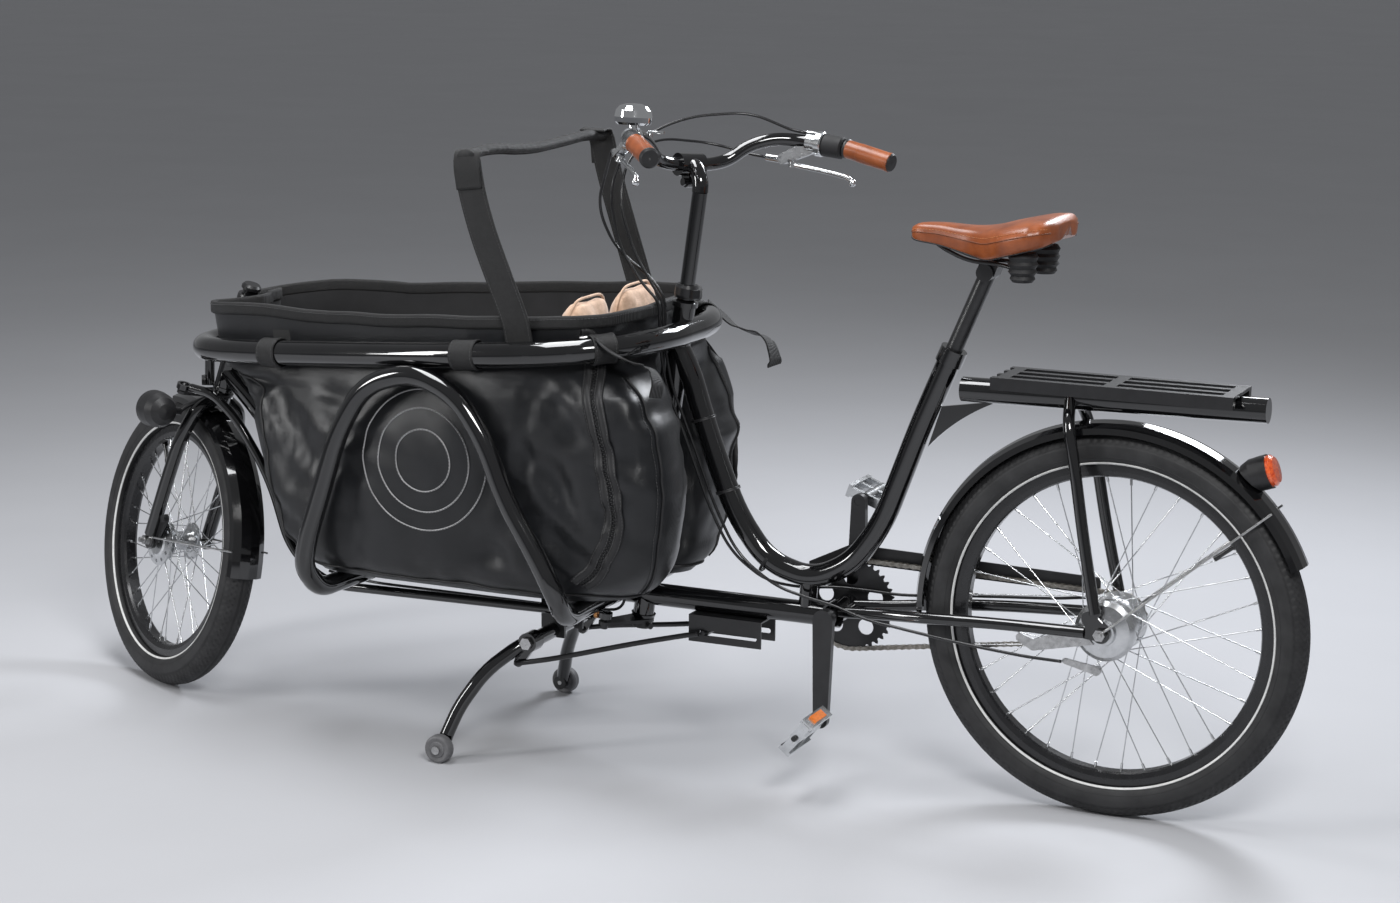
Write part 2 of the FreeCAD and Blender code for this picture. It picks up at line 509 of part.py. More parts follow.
# column shaft, arm, stem, handlebar -----------------------------------------
shaft = rod(col_pt(0, 0, -36), col_pt(0, 0, 716), COL_SHAFT_R, 10.4)
add('steering_column', steer_col(shaft))
S_CARM = -24.0
cdir = COL_F * math.sin(math.radians(ARM_DEG)) + EY * math.cos(math.radians(ARM_DEG))
CA_BALL0 = col_pt(0, 0, S_CARM + 13.5) + cdir * ARM_R
ca = fuse([link_plate(col_pt(0, 0, S_CARM), col_pt(0, 0, S_CARM) + cdir * ARM_R, 19, 10, COL_K, 6),
           cyl(col_pt(0, 0, S_CARM - 14), COL_K, 17, 18)])
ca = ca.cut(rod(col_pt(0, 0, -60), col_pt(0, 0, 0), COL_SHAFT_R))
ca = fuse([ca, cyl(CA_BALL0 - COL_K * 12, COL_K, 3.6, 10), Part.makeSphere(6.0, CA_BALL0), cyl(CA_BALL0 - COL_K * 23.5, COL_K, 6.5, 7.5),
           cyl(col_pt(-17, 0, S_CARM - 8), V(-1, 0, 0), 5, 9)])
ca = ca.cut(rod(col_pt(0, 0, -60), col_pt(0, 0, 0), COL_SHAFT_R))
add('column_steering_arm', steer_col(sorted(ca.Solids, key=lambda s: -s.Volume)[0]))
cups = [ring(col_pt(0, 0, 0), COL_K, [(12.8, -19), (19.5, -19), (21, -14), (12.8, -14)]),
        ring(col_pt(0, 0, 0), COL_K, [(12.8, 524), (21.5, 524), (21.5, 532), (12.8, 536)])]
add('column_headset_cups', Part.makeCompound(cups))
cc = fuse([ring(col_pt(0, 0, 0), COL_K, [(12.7, 538), (18, 538), (20, 543), (20, 556), (17, 561), (12.7, 561)]),
           box(col_pt(-22, 0, 549), 12, 14, 14, V(0, 1, 0), 0)]).cut(rod(col_pt(0, 0, 530), col_pt(0, 0, 570), 12.7))
add('column_clamp', steer_col(sorted(cc.Solids, key=lambda s: -s.Volume)[0]))

BAR_C = V(762, 0, 1003)
bar_half = [BAR_C, V(759, 40, 1004), V(752, 72, 1012), V(735, 104, 1040), V(712, 140, 1052), V(690, 171, 1051), GRIP_IN, GRIP_END]
bar_half[-1] = GRIP_END + (GRIP_IN - GRIP_END).normalize() * 3.0
bar_pts = [V(p.x, -p.y, p.z) for p in reversed(bar_half[1:])] + bar_half[1:]
bar_rad = [None] * len(bar_pts)
bar_rad[1] = bar_rad[-2] = 60.0
bar = pipe(bar_pts, BAR_R, BAR_R - 2.0, radii=bar_rad, report='handlebar')
bar_solid = pipe(bar_pts, BAR_R, radii=bar_rad)
add('handlebar', steer_col(bar))
stem_top = col_pt(0, 0, 716)
st_pipe = pipe([stem_top, col_pt(2, 0, 733), V(740, 0, 1000), V(757, 0, 1003)], 13.5, 0, report='stem')
st = fuse([st_pipe, rod(V(760, -24, 1003.5), V(760, 24, 1003.5), 19), link_plate(V(760, 0, 1003.5), V(756, 0, 975), 14, 9, EY, 18)])
st = st.cut(bar_solid)
add('stem', steer_col(sorted(st.Solids, key=lambda s: -s.Volume)[0]))
add('stem_pinch_bolt', steer_col(cyl(V(756, -15, 975), EY, 4.0, 30).fuse(cyl(V(756, 9, 975), EY, 6.5, 6)).cut(st) if False else
    fuse([cyl(V(756, 9.05, 975), EY, 6.5, 6), cyl(V(756, -15.05, 975), EY, 6.5, 6)]).Solids[0]))

def grip(side):
    d = (GRIP_END - GRIP_IN).normalize()
    g0 = GRIP_IN
    L = (GRIP_END - GRIP_IN).Length
    g = ring(g0, d, [(BAR_R, 0), (GRIP_R + 0.6, 0), (GRIP_R + 0.6, 2), (GRIP_R - 0.6, 4), (GRIP_R - 0.6, L * 0.3), (GRIP_R, L * 0.31),
                     (GRIP_R - 0.4, L - 6), (GRIP_R, L - 5), (BAR_R, L - 5)])
    g = g.cut(bar_solid)
    g = sorted(g.Solids, key=lambda s: -s.Volume)[0]
    if side < 0:
        g = mirror(g)
    return steer_col(g)
def grip_cap(side):
    d = (GRIP_END - GRIP_IN).normalize()
    L = (GRIP_END - GRIP_IN).Length
    g = ring(GRIP_IN, d, [(0, L - 3), (BAR_R + 0.05, L - 3), (BAR_R + 0.05, L - 5), (GRIP_R + 0.3, L - 5), (GRIP_R + 0.3, L - 1), (GRIP_R - 2.5, L + 2), (0, L + 2.5)])
    g = g.cut(bar_solid)
    g = sorted(g.Solids, key=lambda s: -s.Volume)[0]
    if side < 0:
        g = mirror(g)
    return steer_col(g)
add('grip_left', grip(1))
add('grip_right', grip(-1))
add('grip_caps', Part.makeCompound([grip_cap(1), grip_cap(-1)]))

# brake levers: body clamped on the bar, blade hinged below it -----------------
GD = (GRIP_IN - GRIP_END).normalize()              # along the left grip, inward
CD = (V(690, 171, 1051) - GRIP_IN).normalize()
CLAMP_P = GRIP_IN + CD * 63.0   # clamp centre on the bar
def lever_set(side, roll):
    """Body and blade; roll turns the set about the bar, degrees."""
    clamp = cyl(CLAMP_P - CD * 8, CD, 15.5, 16)
    body = fuse([clamp, link_plate(CLAMP_P + V(4, -2, -8), CLAMP_P + V(44, -24, -30), 12, 9, EZ.cross(CD), 15),
                 cyl(CLAMP_P + V(46, -25, -32), V(0.90, -0.40, 0.08), 6.0, 30)])
    body = body.cut(bar_solid)
    body = sorted(body.Solids, key=lambda s: -s.Volume)[0]
    piv = CLAMP_P + V(26, -18, -38)
    hx = CD.cross(V(0, 0, -1)).normalize()
    blade = pipe([piv, piv + V(-30, 8, -3), piv + V(-72, 24, -8), piv + V(-104, 36, -14), piv + V(-112, 39, -22)], 4.2, report=None)
    blade = fuse([blade, Part.makeSphere(6.4, piv + V(-112, 39, -22)), cyl(piv - EZ * 5, EZ, 7.5, 10)])
    body = body.cut(cyl(piv - EZ * 8, EZ, 9.5, 16)).cut(pipe([piv, piv + V(-30, 8, -3), piv + V(-72, 24, -8)], 6.5))
    body = sorted(body.Solids, key=lambda s: -s.Volume)[0]
    pin = fuse([cyl(piv - EZ * 11, EZ, 2.6, 22)])
    items = [body, blade]
    pts = [piv]
    if side < 0:
        items = [mirror(i) for i in items]
        pts = [V(p.x, -p.y, p.z) for p in pts]
        cp, cd = V(CLAMP_P.x, -CLAMP_P.y, CLAMP_P.z), V(CD.x, -CD.y, CD.z)
    else:
        cp, cd = CLAMP_P, CD
    if roll:
        items = [turned(i, cp, cd, roll) for i in items]
        pts = [pt_turn(p, cp, cd, roll) for p in pts]
        zax = FreeCAD.Rotation(cd, roll).multVec(EZ)
    else:
        zax = EZ
    return items, pts[0], zax
LL, LL_P, LL_A = lever_set(1, 22)
LR, LR_P, LR_A = lever_set(-1, 0)
add('brake_lever_body_left', steer_col(LL[0]))
add('brake_lever_left', steer_col(LL[1]))
add('brake_lever_body_right', steer_col(LR[0]))
add('brake_lever_right', steer_col(LR[1]))
# twist shifter on the right, between lever and grip
gi = V(GRIP_IN.x, -GRIP_IN.y, GRIP_IN.z)
cp = V(CLAMP_P.x, -CLAMP_P.y, CLAMP_P.z)
sd = (cp - gi).normalize()
sh_len = (cp - gi).Length - 9.5
add('shifter_housing', steer_col(ring(gi + sd * (sh_len - 12), sd, [(BAR_R + 0.1, 0), (19, 0), (21, 2), (21, 11), (BAR_R + 0.1, 11)]).fuse(
    cyl(gi + sd * (sh_len - 7) + EZ * 14, V(0.75, 0.5, 0.1), 5.2, 26).cut(cyl(gi + sd * (sh_len - 30), sd, 18, 60))).Solids[0].cut(bar_solid)))
add('twist_shifter', steer_col(ring(gi, sd, [(BAR_R + 0.1, 5.5), (15.5, 5.5), (19, 8), (19, sh_len - 15), (17, sh_len - 12.4), (BAR_R + 0.1, sh_len - 12.4)])))
SH_P, SH_A = gi, sd
# bell on the left, dome over the bar
BELL = V(699, 158, 1079)
bell = fuse([ring(BELL, EZ, [(0, -14), (8, -14), (8, -10), (26, -10), (30.5, -6), (31, 2), (29, 13), (23, 20), (12, 23.5), (0, 24)])])
add('bell', steer_col(bell))
bb_p = V(688, 164, 1052)
add('bell_mount', steer_col(fuse([cyl(V(699, 158, 1056), EZ, 5, 9.0), 
    ring(V(701, 155.5, 1051.5), (V(690, 171, 1051) - V(712, 140, 1052)).normalize(), [(BAR_R + 0.1, -7), (14, -7), (14, 7), (BAR_R + 0.1, 7)])]).cut(bar_solid).Solids[0]))
BLV_P = V(667, 146, 1060)
add('bell_lever', steer_col(fuse([cyl(V(667, 146, 1052), EZ, 4, 9), link_plate(V(667, 146, 1060), V(646, 138, 1060), 5, 4, EZ, 4)])))

# ============================================================ DRIVETRAIN
ring_r = PITCH / 2 / math.sin(math.pi / RING_TEETH)
spr_r = PITCH / 2 / math.sin(math.pi / SPROCKET_TEETH)
def gear(c, n, rp, t, phase=0.0):
    """Chainwheel outline: pointed teeth between round roller seats."""
    pts = []
    for i in range(n):
        a = 2 * math.pi * i / n + phase
        for da, r in ((-0.5, rp + 3.2), (-0.32, rp + 0.6), (-0.2, rp - 3.0), (0.0, rp - 4.1), (0.2, rp - 3.0), (0.32, rp + 0.6)):
            b = a + da * 2 * math.pi / n
            pts.append(c + V(r * math.cos(b), 0, r * math.sin(b)))
    f = Part.Face(Part.makePolygon(pts + [pts[0]]))
    f.translate(V(0, -t / 2, 0))
    return f.extrude(EY * t)
CR = V(BB.x, CHAIN_Y, BB.z)
chainring = gear(CR, RING_TEETH, ring_r, 2.6)
cut = [Part.makeCylinder(13.5, 10, CR + V(46 * math.cos(a), -5, 46 * math.sin(a)), EY) for a in [2 * math.pi * i / 5 + 0.3 for i in range(5)]]
chainring = chainring.cut(Part.makeCompound(cut)).cut(cyl(CR - EY * 5, EY, 15.1, 10))
add('chainring', chainring)
spider = fuse([cyl(CR - EY * 9, EY, 15, 16)] + [link_plate(CR - EY * 4.4, CR + V(60 * math.cos(a), -4.4, 60 * math.sin(a)), 9, 5, EY, 5) for a in [2 * math.pi * i / 5 + 0.93 for i in range(5)]])
axle = fuse([cyl(BB - EY * 78, EY, 8.0, 156)])
add('crank_spindle', axle)
spider = spider.cut(axle)
def crank_arm(side, ang):
    y0, y1 = side * 66.0, side * 74.0
    p = V(BB.x, y0, BB.z)
    q = V(BB.x + CRANK * math.cos(math.radians(ang)), y1, BB.z + CRANK * math.sin(math.radians(ang)))
    a = fuse([link_plate(V(p.x, side * 73.0, p.z), V(q.x, side * 73.0, q.z), 17.5, 12.5, EY, 12), cyl(p - EY * side * 8, EY * side, 16, 19)])
    a = a.cut(axle).cut(cyl(q - EY * 20, EY, 7.0, 40))
    return sorted(a.Solids, key=lambda s: -s.Volume)[0], q
cl_, PL = crank_arm(1, -89.4)
cr_, PR = crank_arm(-1, 90.6)
add('crank_left', cl_)
cr_ = cr_.cut(spider)
cr_ = sorted(cr_.Solids, key=lambda s: -s.Volume)[0]
add('crank_right', cr_)
add('chainring_spider', spider.Solids[0])
def pedal(q, side, pitch):
    """Spindle with the cage; the cage plates turn about it."""
    y0 = q.y
    sp = fuse([cyl(V(q.x, q.y - side * 6, q.z), EY * side, 6.9, 13), cyl(V(q.x, q.y, q.z), EY * side, 4.5, 116)])
    c = V(q.x, q.y + side * 66, q.z)
    cage = []
    for sx in (1, -1):
        cage.append(box(c + V(sx * 30, 0, 0), 7, 88, 22))
    for k in (-41, 0, 41):
        cage.append(box(c + V(0, k, 0), 60, 8, 16))
    cage.append(cyl(c - EY * 44, EY, 9.5, 88))
    cage = fuse(cage).cut(cyl(c - EY * 80, EY, 4.8, 160))
    refl = Part.makeCompound([box(c + V(sx * 35.2, 0, 0), 3.2, 44, 14) for sx in (1, -1)])
    cage = turned(cage, c, EY, pitch)
    refl = turned(refl, c, EY, pitch)
    return sp, sorted(cage.Solids, key=lambda s: -s.Volume)[0], refl
spL, cgL, rfL = pedal(PL, 1, 52)
spR, cgR, rfR = pedal(PR, -1, -20)
add('pedal_spindles', Part.makeCompound([spL, spR]))
add('pedal_left', cgL)
add('pedal_right', cgR)
add('pedal_reflectors_left', rfL)
add('pedal_reflectors_right', rfR)
SP = V(0, CHAIN_Y, RR_OUT)
spr = gear(SP, SPROCKET_TEETH, spr_r, 2.6).cut(cyl(SP - EY * 5, EY, 19.1, 10))
spr = fuse([spr, ring(SP, EY, [(12.2, -4), (19.1, -4), (19.1, 4), (12.2, 4)])])
add('sprocket', spr)
# chain: one closed band around both wheels, drawn just outside the tooth roots
def chain_band(t, w):
    d = (CR - SP)
    L = d.Length
    base = math.atan2(d.z, d.x)
    a = math.acos((ring_r - spr_r) / L)
    def ptc(c, r, th):
        return c + V(r * math.cos(th), 0, r * math.sin(th))
    def wire(off):
        R, r = ring_r + off, spr_r + off
        t1, t2 = base + a, base - a
        # contact points: big wheel (front), small wheel (rear)
        th_top = base + math.pi - a
        th_bot = base + math.pi + a
        e = [Part.LineSegment(ptc(SP, r, th_top), ptc(CR, R, th_top)).toShape(),
             Part.Arc(ptc(CR, R, th_top), ptc(CR, R, base), ptc(CR, R, th_bot)).toShape(),
             Part.LineSegment(ptc(CR, R, th_bot), ptc(SP, r, th_bot)).toShape(),
             Part.Arc(ptc(SP, r, th_bot), ptc(SP, r, base + math.pi), ptc(SP, r, th_top)).toShape()]
        return Part.Wire(e)
    fo, fi = Part.Face(wire(t / 2)), Part.Face(wire(-t / 2))
    f = fo.cut(fi)
    f.translate(V(0, -w / 2, 0))
    return f.extrude(EY * w)
band = chain_band(8.0, 8.6)
gap = chain_band(14.0, 3.4)
c1 = band.cut(gap)
add('chain', Part.makeCompound(c1.Solids))
# chain guard: black plate outside the upper chain run, with bracket
cg = fuse([plate([V(40, -57, 372), V(470, -57, 382), V(545, -57, 345), V(548, -57, 318), V(520, -57, 318), V(455, -57, 350), V(40, -57, 344)], -EY, 2.0)])
add('chain_guard', cg)
# rear axle, brake unit with reaction arm, cable arm
ra = fuse([cyl(V(0, -92, RR_OUT), EY, 5.0, 176)] + [bolt(V(0, 70.6 * s, RR_OUT), EY * s, 5, 10, 0, hr=10) for s in (1, -1)])
ra = fuse([ra] + [rod(V(-3, 77 * s, RR_OUT + 3), V(-252, 34.5 * s, 525), 2.0) for s in (1, -1)])
add('rear_axle', ra)
rb = ring(REAR_AXLE, EY, [(5.1, 36.2), (30, 36.2), (46, 38), (49, 41), (49, 47), (42, 53), (22, 57), (20, 65), (5.1, 65)])
add('rear_brake_unit', rb)
arm = link_plate(V(0, 60, RR_OUT), V(112, 60, 281), 17, 9, EY, 4)
arm = arm.fuse(link_plate(V(112, 60, 281), V(134, 60, 291), 9, 7, EY, 4)).cut(cyl(V(0, 40, RR_OUT), EY, 23.5, 40)).cut(pipe(cs_pts, 9.5))
add('brake_reaction_arm', sorted(arm.Solids, key=lambda s: -s.Volume)[0])
RBA_P = V(6, 60, 252)
ca2 = fuse([cyl(V(6, 56, 252), EY, 7, 12), link_plate(V(6, 63, 252), V(58, 63, 262), 7, 4.5, EY, 4)])
ca2 = ca2.cut(rb)
add('rear_brake_arm', sorted(ca2.Solids, key=lambda s: -s.Volume)[0])

# ============================================================== SEAT
post = rod(POST_B - POST_K * 120, POST_T, 13.6)
add('seatpost', post)
col_in = rod(V(283.3, 0, 722) - POST_K * 12, V(283.3, 0, 722) + POST_K * 14, 22.0).cut(rod(POST_B - POST_K * 140, POST_T, 13.66))
col_in = col_in.cut(main_solid)
col_in = fuse([sorted(col_in.Solids, key=lambda s: -s.Volume)[0]])
add('seat_clamp', col_in)
cl2 = fuse([rod(POST_T - POST_K * 6 - EY * 22, POST_T - POST_K * 6 + EY * 22, 14), box(POST_T + POST_K * 2, 30, 34, 16, EY, -20)])
cl2 = cl2.cut(post)
add('saddle_clamp', sorted(cl2.Solids, key=lambda s: -s.Volume)[0])
def rail_s(s):
    return pipe([V(318, 10 * s, 910), V(296, 13 * s, 896), V(252, 21 * s, 880), V(196, 22 * s, 878), V(160, 38 * s, 872), V(148, 52 * s, 872)], 3.5)
rls = [rail_s(1), rail_s(-1)]
cl2b = sorted(cl2.Solids, key=lambda s: -s.Volume)[0].cut(rls[0]).cut(rls[1])
NODES[-1] = ('saddle_clamp', sorted(cl2b.Solids, key=lambda s: -s.Volume)[0])
def elast(s):
    c = V(150, 56 * s, 0)
    return ring(c, EZ, [(0, 858), (16, 858), (20, 863), (18, 868), (23, 874), (20, 879), (24, 886), (21, 891), (24, 898), (20, 904), (0, 904)])
els = Part.makeCompound([elast(1), elast(-1)])
rls = [r.cut(els) for r in rls]
add('saddle_rails', Part.makeCompound([sorted(r.Solids, key=lambda s: -s.Volume)[0] for r in rls]))
add('saddle_springs', els)
def saddle():
    """Loft of cross-sections from the tail to the nose; each is a low arch."""
    secs = [(98, 62, 951, 28), (109, 88, 957, 40), (140, 101, 955, 47), (180, 88, 946, 50), (215, 60, 937, 52), (250, 38, 934, 44), (300, 26, 936, 34), (336, 20, 934, 28), (352, 12, 926, 18)]
    ws = []
    for x, hw, zt, h in secs:
        pts = [V(x, -hw * 0.86, zt - h), V(x, -hw, zt - h * 0.62), V(x, -hw * 0.93, zt - h * 0.2), V(x, -hw * 0.5, zt - h * 0.02), V(x, 0, zt), V(x, hw * 0.5, zt - h * 0.02),
               V(x, hw * 0.93, zt - h * 0.2), V(x, hw, zt - h * 0.62), V(x, hw * 0.86, zt - h)]
        ws.append(Part.makePolygon(pts + [pts[0]]))
    return Part.makeLoft(ws, True, True)
sad = saddle()
sad = sad.cut(els).cut(rls[0]).cut(rls[1])
add('saddle', sorted(sad.Solids, key=lambda s: -s.Volume)[0])

# ============================================================== LIGHTS
LAMP0 = None
n_l = FreeCAD.Rotation(FORK_K, STEER).multVec(EY)
f_l = FreeCAD.Rotation(FORK_K, STEER).multVec(FORK_F)
LAMP = V(1745, 88, 524)
ld = V(f_l.x, f_l.y, -0.02).normalize()
lamp = fuse([ring(LAMP, ld, [(0, -36), (14, -33), (25, -24), (31, -8), (33, 10), (33, 22), (30, 24), (0, 26)])])
add('headlight', lamp)
LAMP_P = LAMP - n_l * 34
lb = fuse([rod(LAMP - n_l * 32.2, LAMP - n_l * 44, 7), pipe([LAMP - n_l * 42, LAMP - n_l * 56 + FORK_K * 14, steer_fork(Part.Vertex(fk_pt(0, 18, s0 + 296))).Point + FORK_K * 2], 5)])
lb = lb.cut(lamp).cut(NODES[[n for n, _ in NODES].index('fork')][1])
for tilt in (-15, -7.5, 7.5, 15):
    turned_lamp = lamp.copy()
    turned_lamp.rotate(LAMP_P, n_l, tilt)
    lb = lb.cut(turned_lamp)
add('headlight_bracket', sorted(lb.Solids, key=lambda s: -s.Volume)[0])
# tail light on the rear fender
TL_D = V(-0.94, 0, 0.34).normalize()       # way the tail light faces
TL_C = V(-218, 0, 577)
tl = ring(TL_C, TL_D, [(0, -26), (12, -26), (20, -20), (26, -6), (27, 12), (27, 22), (0, 22)])
rf_solid = Part.makeCylinder(331.5, 200, V(0, -100, RR_OUT), EY)
tl = tl.fuse(rod(V(-210, 0, 560), V(-216, 0, 574), 9)).cut(rf_solid)
tl = sorted(tl.Solids, key=lambda s: -s.Volume)[0]
lens = ring(TL_C, TL_D, [(0, 22), (25, 22), (25, 28), (20, 33), (0, 35)]).cut(rf_solid)
add('tail_light', tl)
add('tail_light_lens', sorted(lens.Solids, key=lambda s: -s.Volume)[0])

# ============================================================== STAND
pivot = STAND_PIVOT
ct = rod(pivot - EY * 118, pivot + EY * 118, 13, 11)
add('stand_cross_tube', ct)
sb = [link_plate(V(980, s * 40, 198), V(972, s * 26, 262), 21, 18, EY, 6).cut(boom_solid) for s in (1, -1)]
sb = [Part.makeBox(44, 6, 74, V(958, -3 + s * 34, 184)).fuse(Part.makeBox(44, 30, 6, V(958, (4 if s > 0 else -34), 247))) for s in (1, -1)]
sb = fuse(sb + [Part.makeBox(44, 62, 6, V(958, -31, 247))]).cut(boom_solid).cut(rod(pivot - EY * 130, pivot + EY * 130, 13.06))
add('stand_bracket', sorted(sb.Solids, key=lambda s: -s.Volume)[0])
def stand_leg(s):
    pts = [V(980, 108 * s, 196), V(1000, 128 * s, 186), V(1040, 168 * s, 150), V(1073, 200 * s, 92), V(1088, 217 * s, 46), V(1092, 221.5 * s, 30)]
    l = pipe(pts, 12.0, 10.0)
    foot = cyl(V(ROLLER.x, s * 209, ROLLER_R), EY * s, 12, 12)
    knuckle = cyl(V(980, 102 * s, 196), EY * s, 17, 30)
    lev = link_plate(V(980, 121 * s, 196), V(1001, 121 * s, 158), 13, 8, EY, 8)
    l = fuse([l, foot, knuckle, lev]).cut(rod(pivot - EY * 118, pivot + EY * 118, 13))
    l = l.cut(cyl(V(1001, (121 - 10) * s, 158), EY * s, 4.06, 20)).cut(cyl(V(ROLLER.x, 190 * s, ROLLER_R), EY * s, 4.0, 60))
    l = l.cut(cyl(V(ROLLER.x, 221 * s, ROLLER_R), EY * s, ROLLER_R + 2, 40))
    return sorted(l.Solids, key=lambda x: -x.Volume)[0]
LEG = stand_leg(1)
add('stand_leg_left', LEG)
add('stand_leg_right', mirror(LEG))
sbolts = [bolt(V(980, 132.1 * s, 196), EY * s, 6, 7, 0, hr=11) for s in (1, -1)]
sax = [fuse([cyl(V(ROLLER.x, 209 * s, ROLLER_R), EY * s, 3.9, 38), cyl(V(ROLLER.x, 245.4 * s, ROLLER_R), EY * s, 7, 3.5)]) for s in (1, -1)]
add('stand_bolts', Part.makeCompound(sbolts + sax))
def roller(s):
    return ring(V(ROLLER.x, ROLLER.y * s, ROLLER_R), EY, [(3.95, -10), (13, -10), (14, -8.5), (20, -10), (22.5, -9), (ROLLER_R, -6), (ROLLER_R, 6), (22.5, 9), (20, 10), (14, 8.5), (13, 10), (3.95, 10)])
add('stand_roller_left', roller(1))
add('stand_roller_right', roller(-1))
# latch plate under the boom with slots, and the two rods
lp = []
for s in (1, -1):
    p = Part.makeBox(132, 3, 46, V(594, -1.5 + 30 * s, 207))
    slot = Part.makeBox(96, 12, 9, V(606, -6 + 30 * s, 219)).fuse(Part.makeCylinder(4.5, 12, V(606, -6 + 30 * s, 223.5), EY)).fuse(Part.makeCylinder(4.5, 12, V(702, -6 + 30 * s, 223.5), EY))
    lp.append(p.cut(slot))
lp.append(Part.makeBox(132, 62, 3, V(594, -31, 250)))
latch = fuse(lp).cut(boom_solid)
add('latch_plate', sorted(latch.Solids, key=lambda x: -x.Volume)[0])
SLIDE0 = V(699, 0, 223.5)
add('latch_slider', fuse([cyl(SLIDE0 - EY * 27, EY, 7.5, 54), cyl(SLIDE0 - EY * 36, EY, 4.2, 72)]))
def srod(s):
    e0 = V(1001, 131 * s, 158)
    p = pipe([V(1001, 131 * s, 158), V(940, 124 * s, 171), V(800, 66 * s, 203), V(722, 44 * s, 220), V(704, 41.5 * s, 223.5)], 4.5)
    return fuse([p, cyl(V(1001, 109 * s, 158), EY * s, 4.0, 24)])
add('stand_rods', both(srod(1).Solids[0]))

# ============================================================== TIE ROD
CA_BALL = pt_turn(CA_BALL0, COL_A, COL_K, STEER)
FA_BALL = pt_turn(FA_BALL0, FORK_A, FORK_K, STEER)
print('balls', CA_BALL, FA_BALL)
y_t = CA_BALL.y
def tie(pa, pb):
    mid = [pa + V(26, 0, 0), V(1000, pa.y, pa.z - 2), V(1405, pa.y, pa.z - 8), V(1482, pa.y, 292), V(1522, (pa.y + pb.y) / 2, 420), V(1590, pb.y, 520), pb + V(-60, 0, -9), pb + V(-15, 0, -2)]
    p = pipe(mid, 8.0, 6.2, report='tie_rod')
    return p
tr = tie(CA_BALL, FA_BALL)
tr = fuse([tr, rod(CA_BALL + V(11, 0, 0), CA_BALL + V(27, 0, 0), 4.5), rod(FA_BALL + V(-17, 0, -2.5), FA_BALL + V(-10.5, 0, -1.5), 4.5)])
add('tie_rod', sorted(tr.Solids, key=lambda s: -s.Volume)[0])
col_k, frk_k = COL_K, FORK_K
rj = ring(CA_BALL, col_k, [(6.1, -5), (12, -5), (12, 5), (6.1, 5)])
fj = ring(FA_BALL, frk_k, [(8.5, -4.5), (13, -4.5), (13, 4.5), (8.5, 4.5)])
rj = rj.cut(rod(CA_BALL + V(11, 0, 0), CA_BALL + V(27, 0, 0), 4.5))
fj = fj.cut(rod(FA_BALL + V(-17, 0, -2.5), FA_BALL + V(-10.5, 0, -1.5), 4.5))
nuts = [ring(CA_BALL, EX, [(4.5, 19), (8.5, 19), (8.5, 25), (4.5, 25)]), ring(CA_BALL, EX, [(4.5, 12.5), (7, 12.5), (7, 18.5), (4.5, 18.5)])]
add('tie_rod_ends', Part.makeCompound([sorted(rj.Solids, key=lambda s: -s.Volume)[0], sorted(fj.Solids, key=lambda s: -s.Volume)[0]]))
add('tie_rod_jam_nuts', Part.makeCompound(nuts[1:]))

# ============================================================== CARGO BAG
# each level: height rule, then half outline from the front centre round to the
# rear centre; the rear has two lobes astride the swan-neck tube
LEV = [
    (lambda x: 293.0, [(1370, 0), (1370, 70), (1366, 148), (1330, 174), (1240, 184), (1110, 186), (980, 188), (880, 180), (820, 152), (790, 120), (786, 96), (806, 66), (856, 44), (872, 0)], 0.0),
    (lambda x: 330.0, [(1384, 0), (1384, 82), (1392, 176), (1350, 204), (1270, 218), (1130, 225), (980, 228), (860, 224), (775, 192), (742, 158), (735, 120), (760, 76), (838, 46), (858, 0)], 0.35),
    (lambda x: 380.0, [(1402, 0), (1402, 82), (1436, 184), (1380, 212), (1290, 226), (1135, 234), (980, 236), (860, 234), (752, 220), (716, 184), (708, 128), (736, 76), (830, 48), (850, 0)], 0.45),
    (lambda x: 500.0, [(1464, 0), (1464, 84), (1474, 172), (1400, 204), (1290, 226), (1135, 240), (980, 237), (860, 236), (742, 234), (700, 194), (693, 128), (722, 76), (816, 48), (834, 0)], 0.40),
    (lambda x: 560.0, [(1498, 0), (1498, 84), (1494, 164), (1410, 190), (1290, 218), (1135, 238), (980, 237), (860, 236), (742, 234), (704, 194), (699, 128), (724, 76), (808, 48), (826, 0)], 0.45),
    (lambda x: 640.0 - 0.06 * (x - 860), [(1572, 0), (1568, 60), (1515, 144), (1420, 170), (1300, 200), (1140, 226), (980, 234), (860, 230), (764, 226), (744, 188), (740, 128), (752, 76), (798, 48), (816, 0)], 0.70),
    (lambda x: rail_z(x) - 34.0, [(1570, 0), (1574, 38), (1606, 62), (1545, 130), (1300, 192), (1140, 217), (980, 227), (872, 212), (822, 194), (792, 170), (781, 130), (776, 80), (780, 46), (792, 0)], 0.0),
    (lambda x: rail_z(x) - 10.0, [(1562, 0), (1568, 36), (1620, 60), (1556, 121), (1300, 183), (1140, 208), (980, 218), (872, 204), (838, 189), (813, 166), (802, 128), (797, 80), (793, 46), (792, 0)], 0.0),
    (lambda x: 772.0 - 0.060 * (x - 860), [(1560, 0), (1566, 36), (1634, 60), (1562, 130), (1302, 191), (1140, 216), (980, 226), (868, 213), (832, 196), (803, 171), (790, 130), (785, 80), (788, 46), (790, 0)], 0.0)]
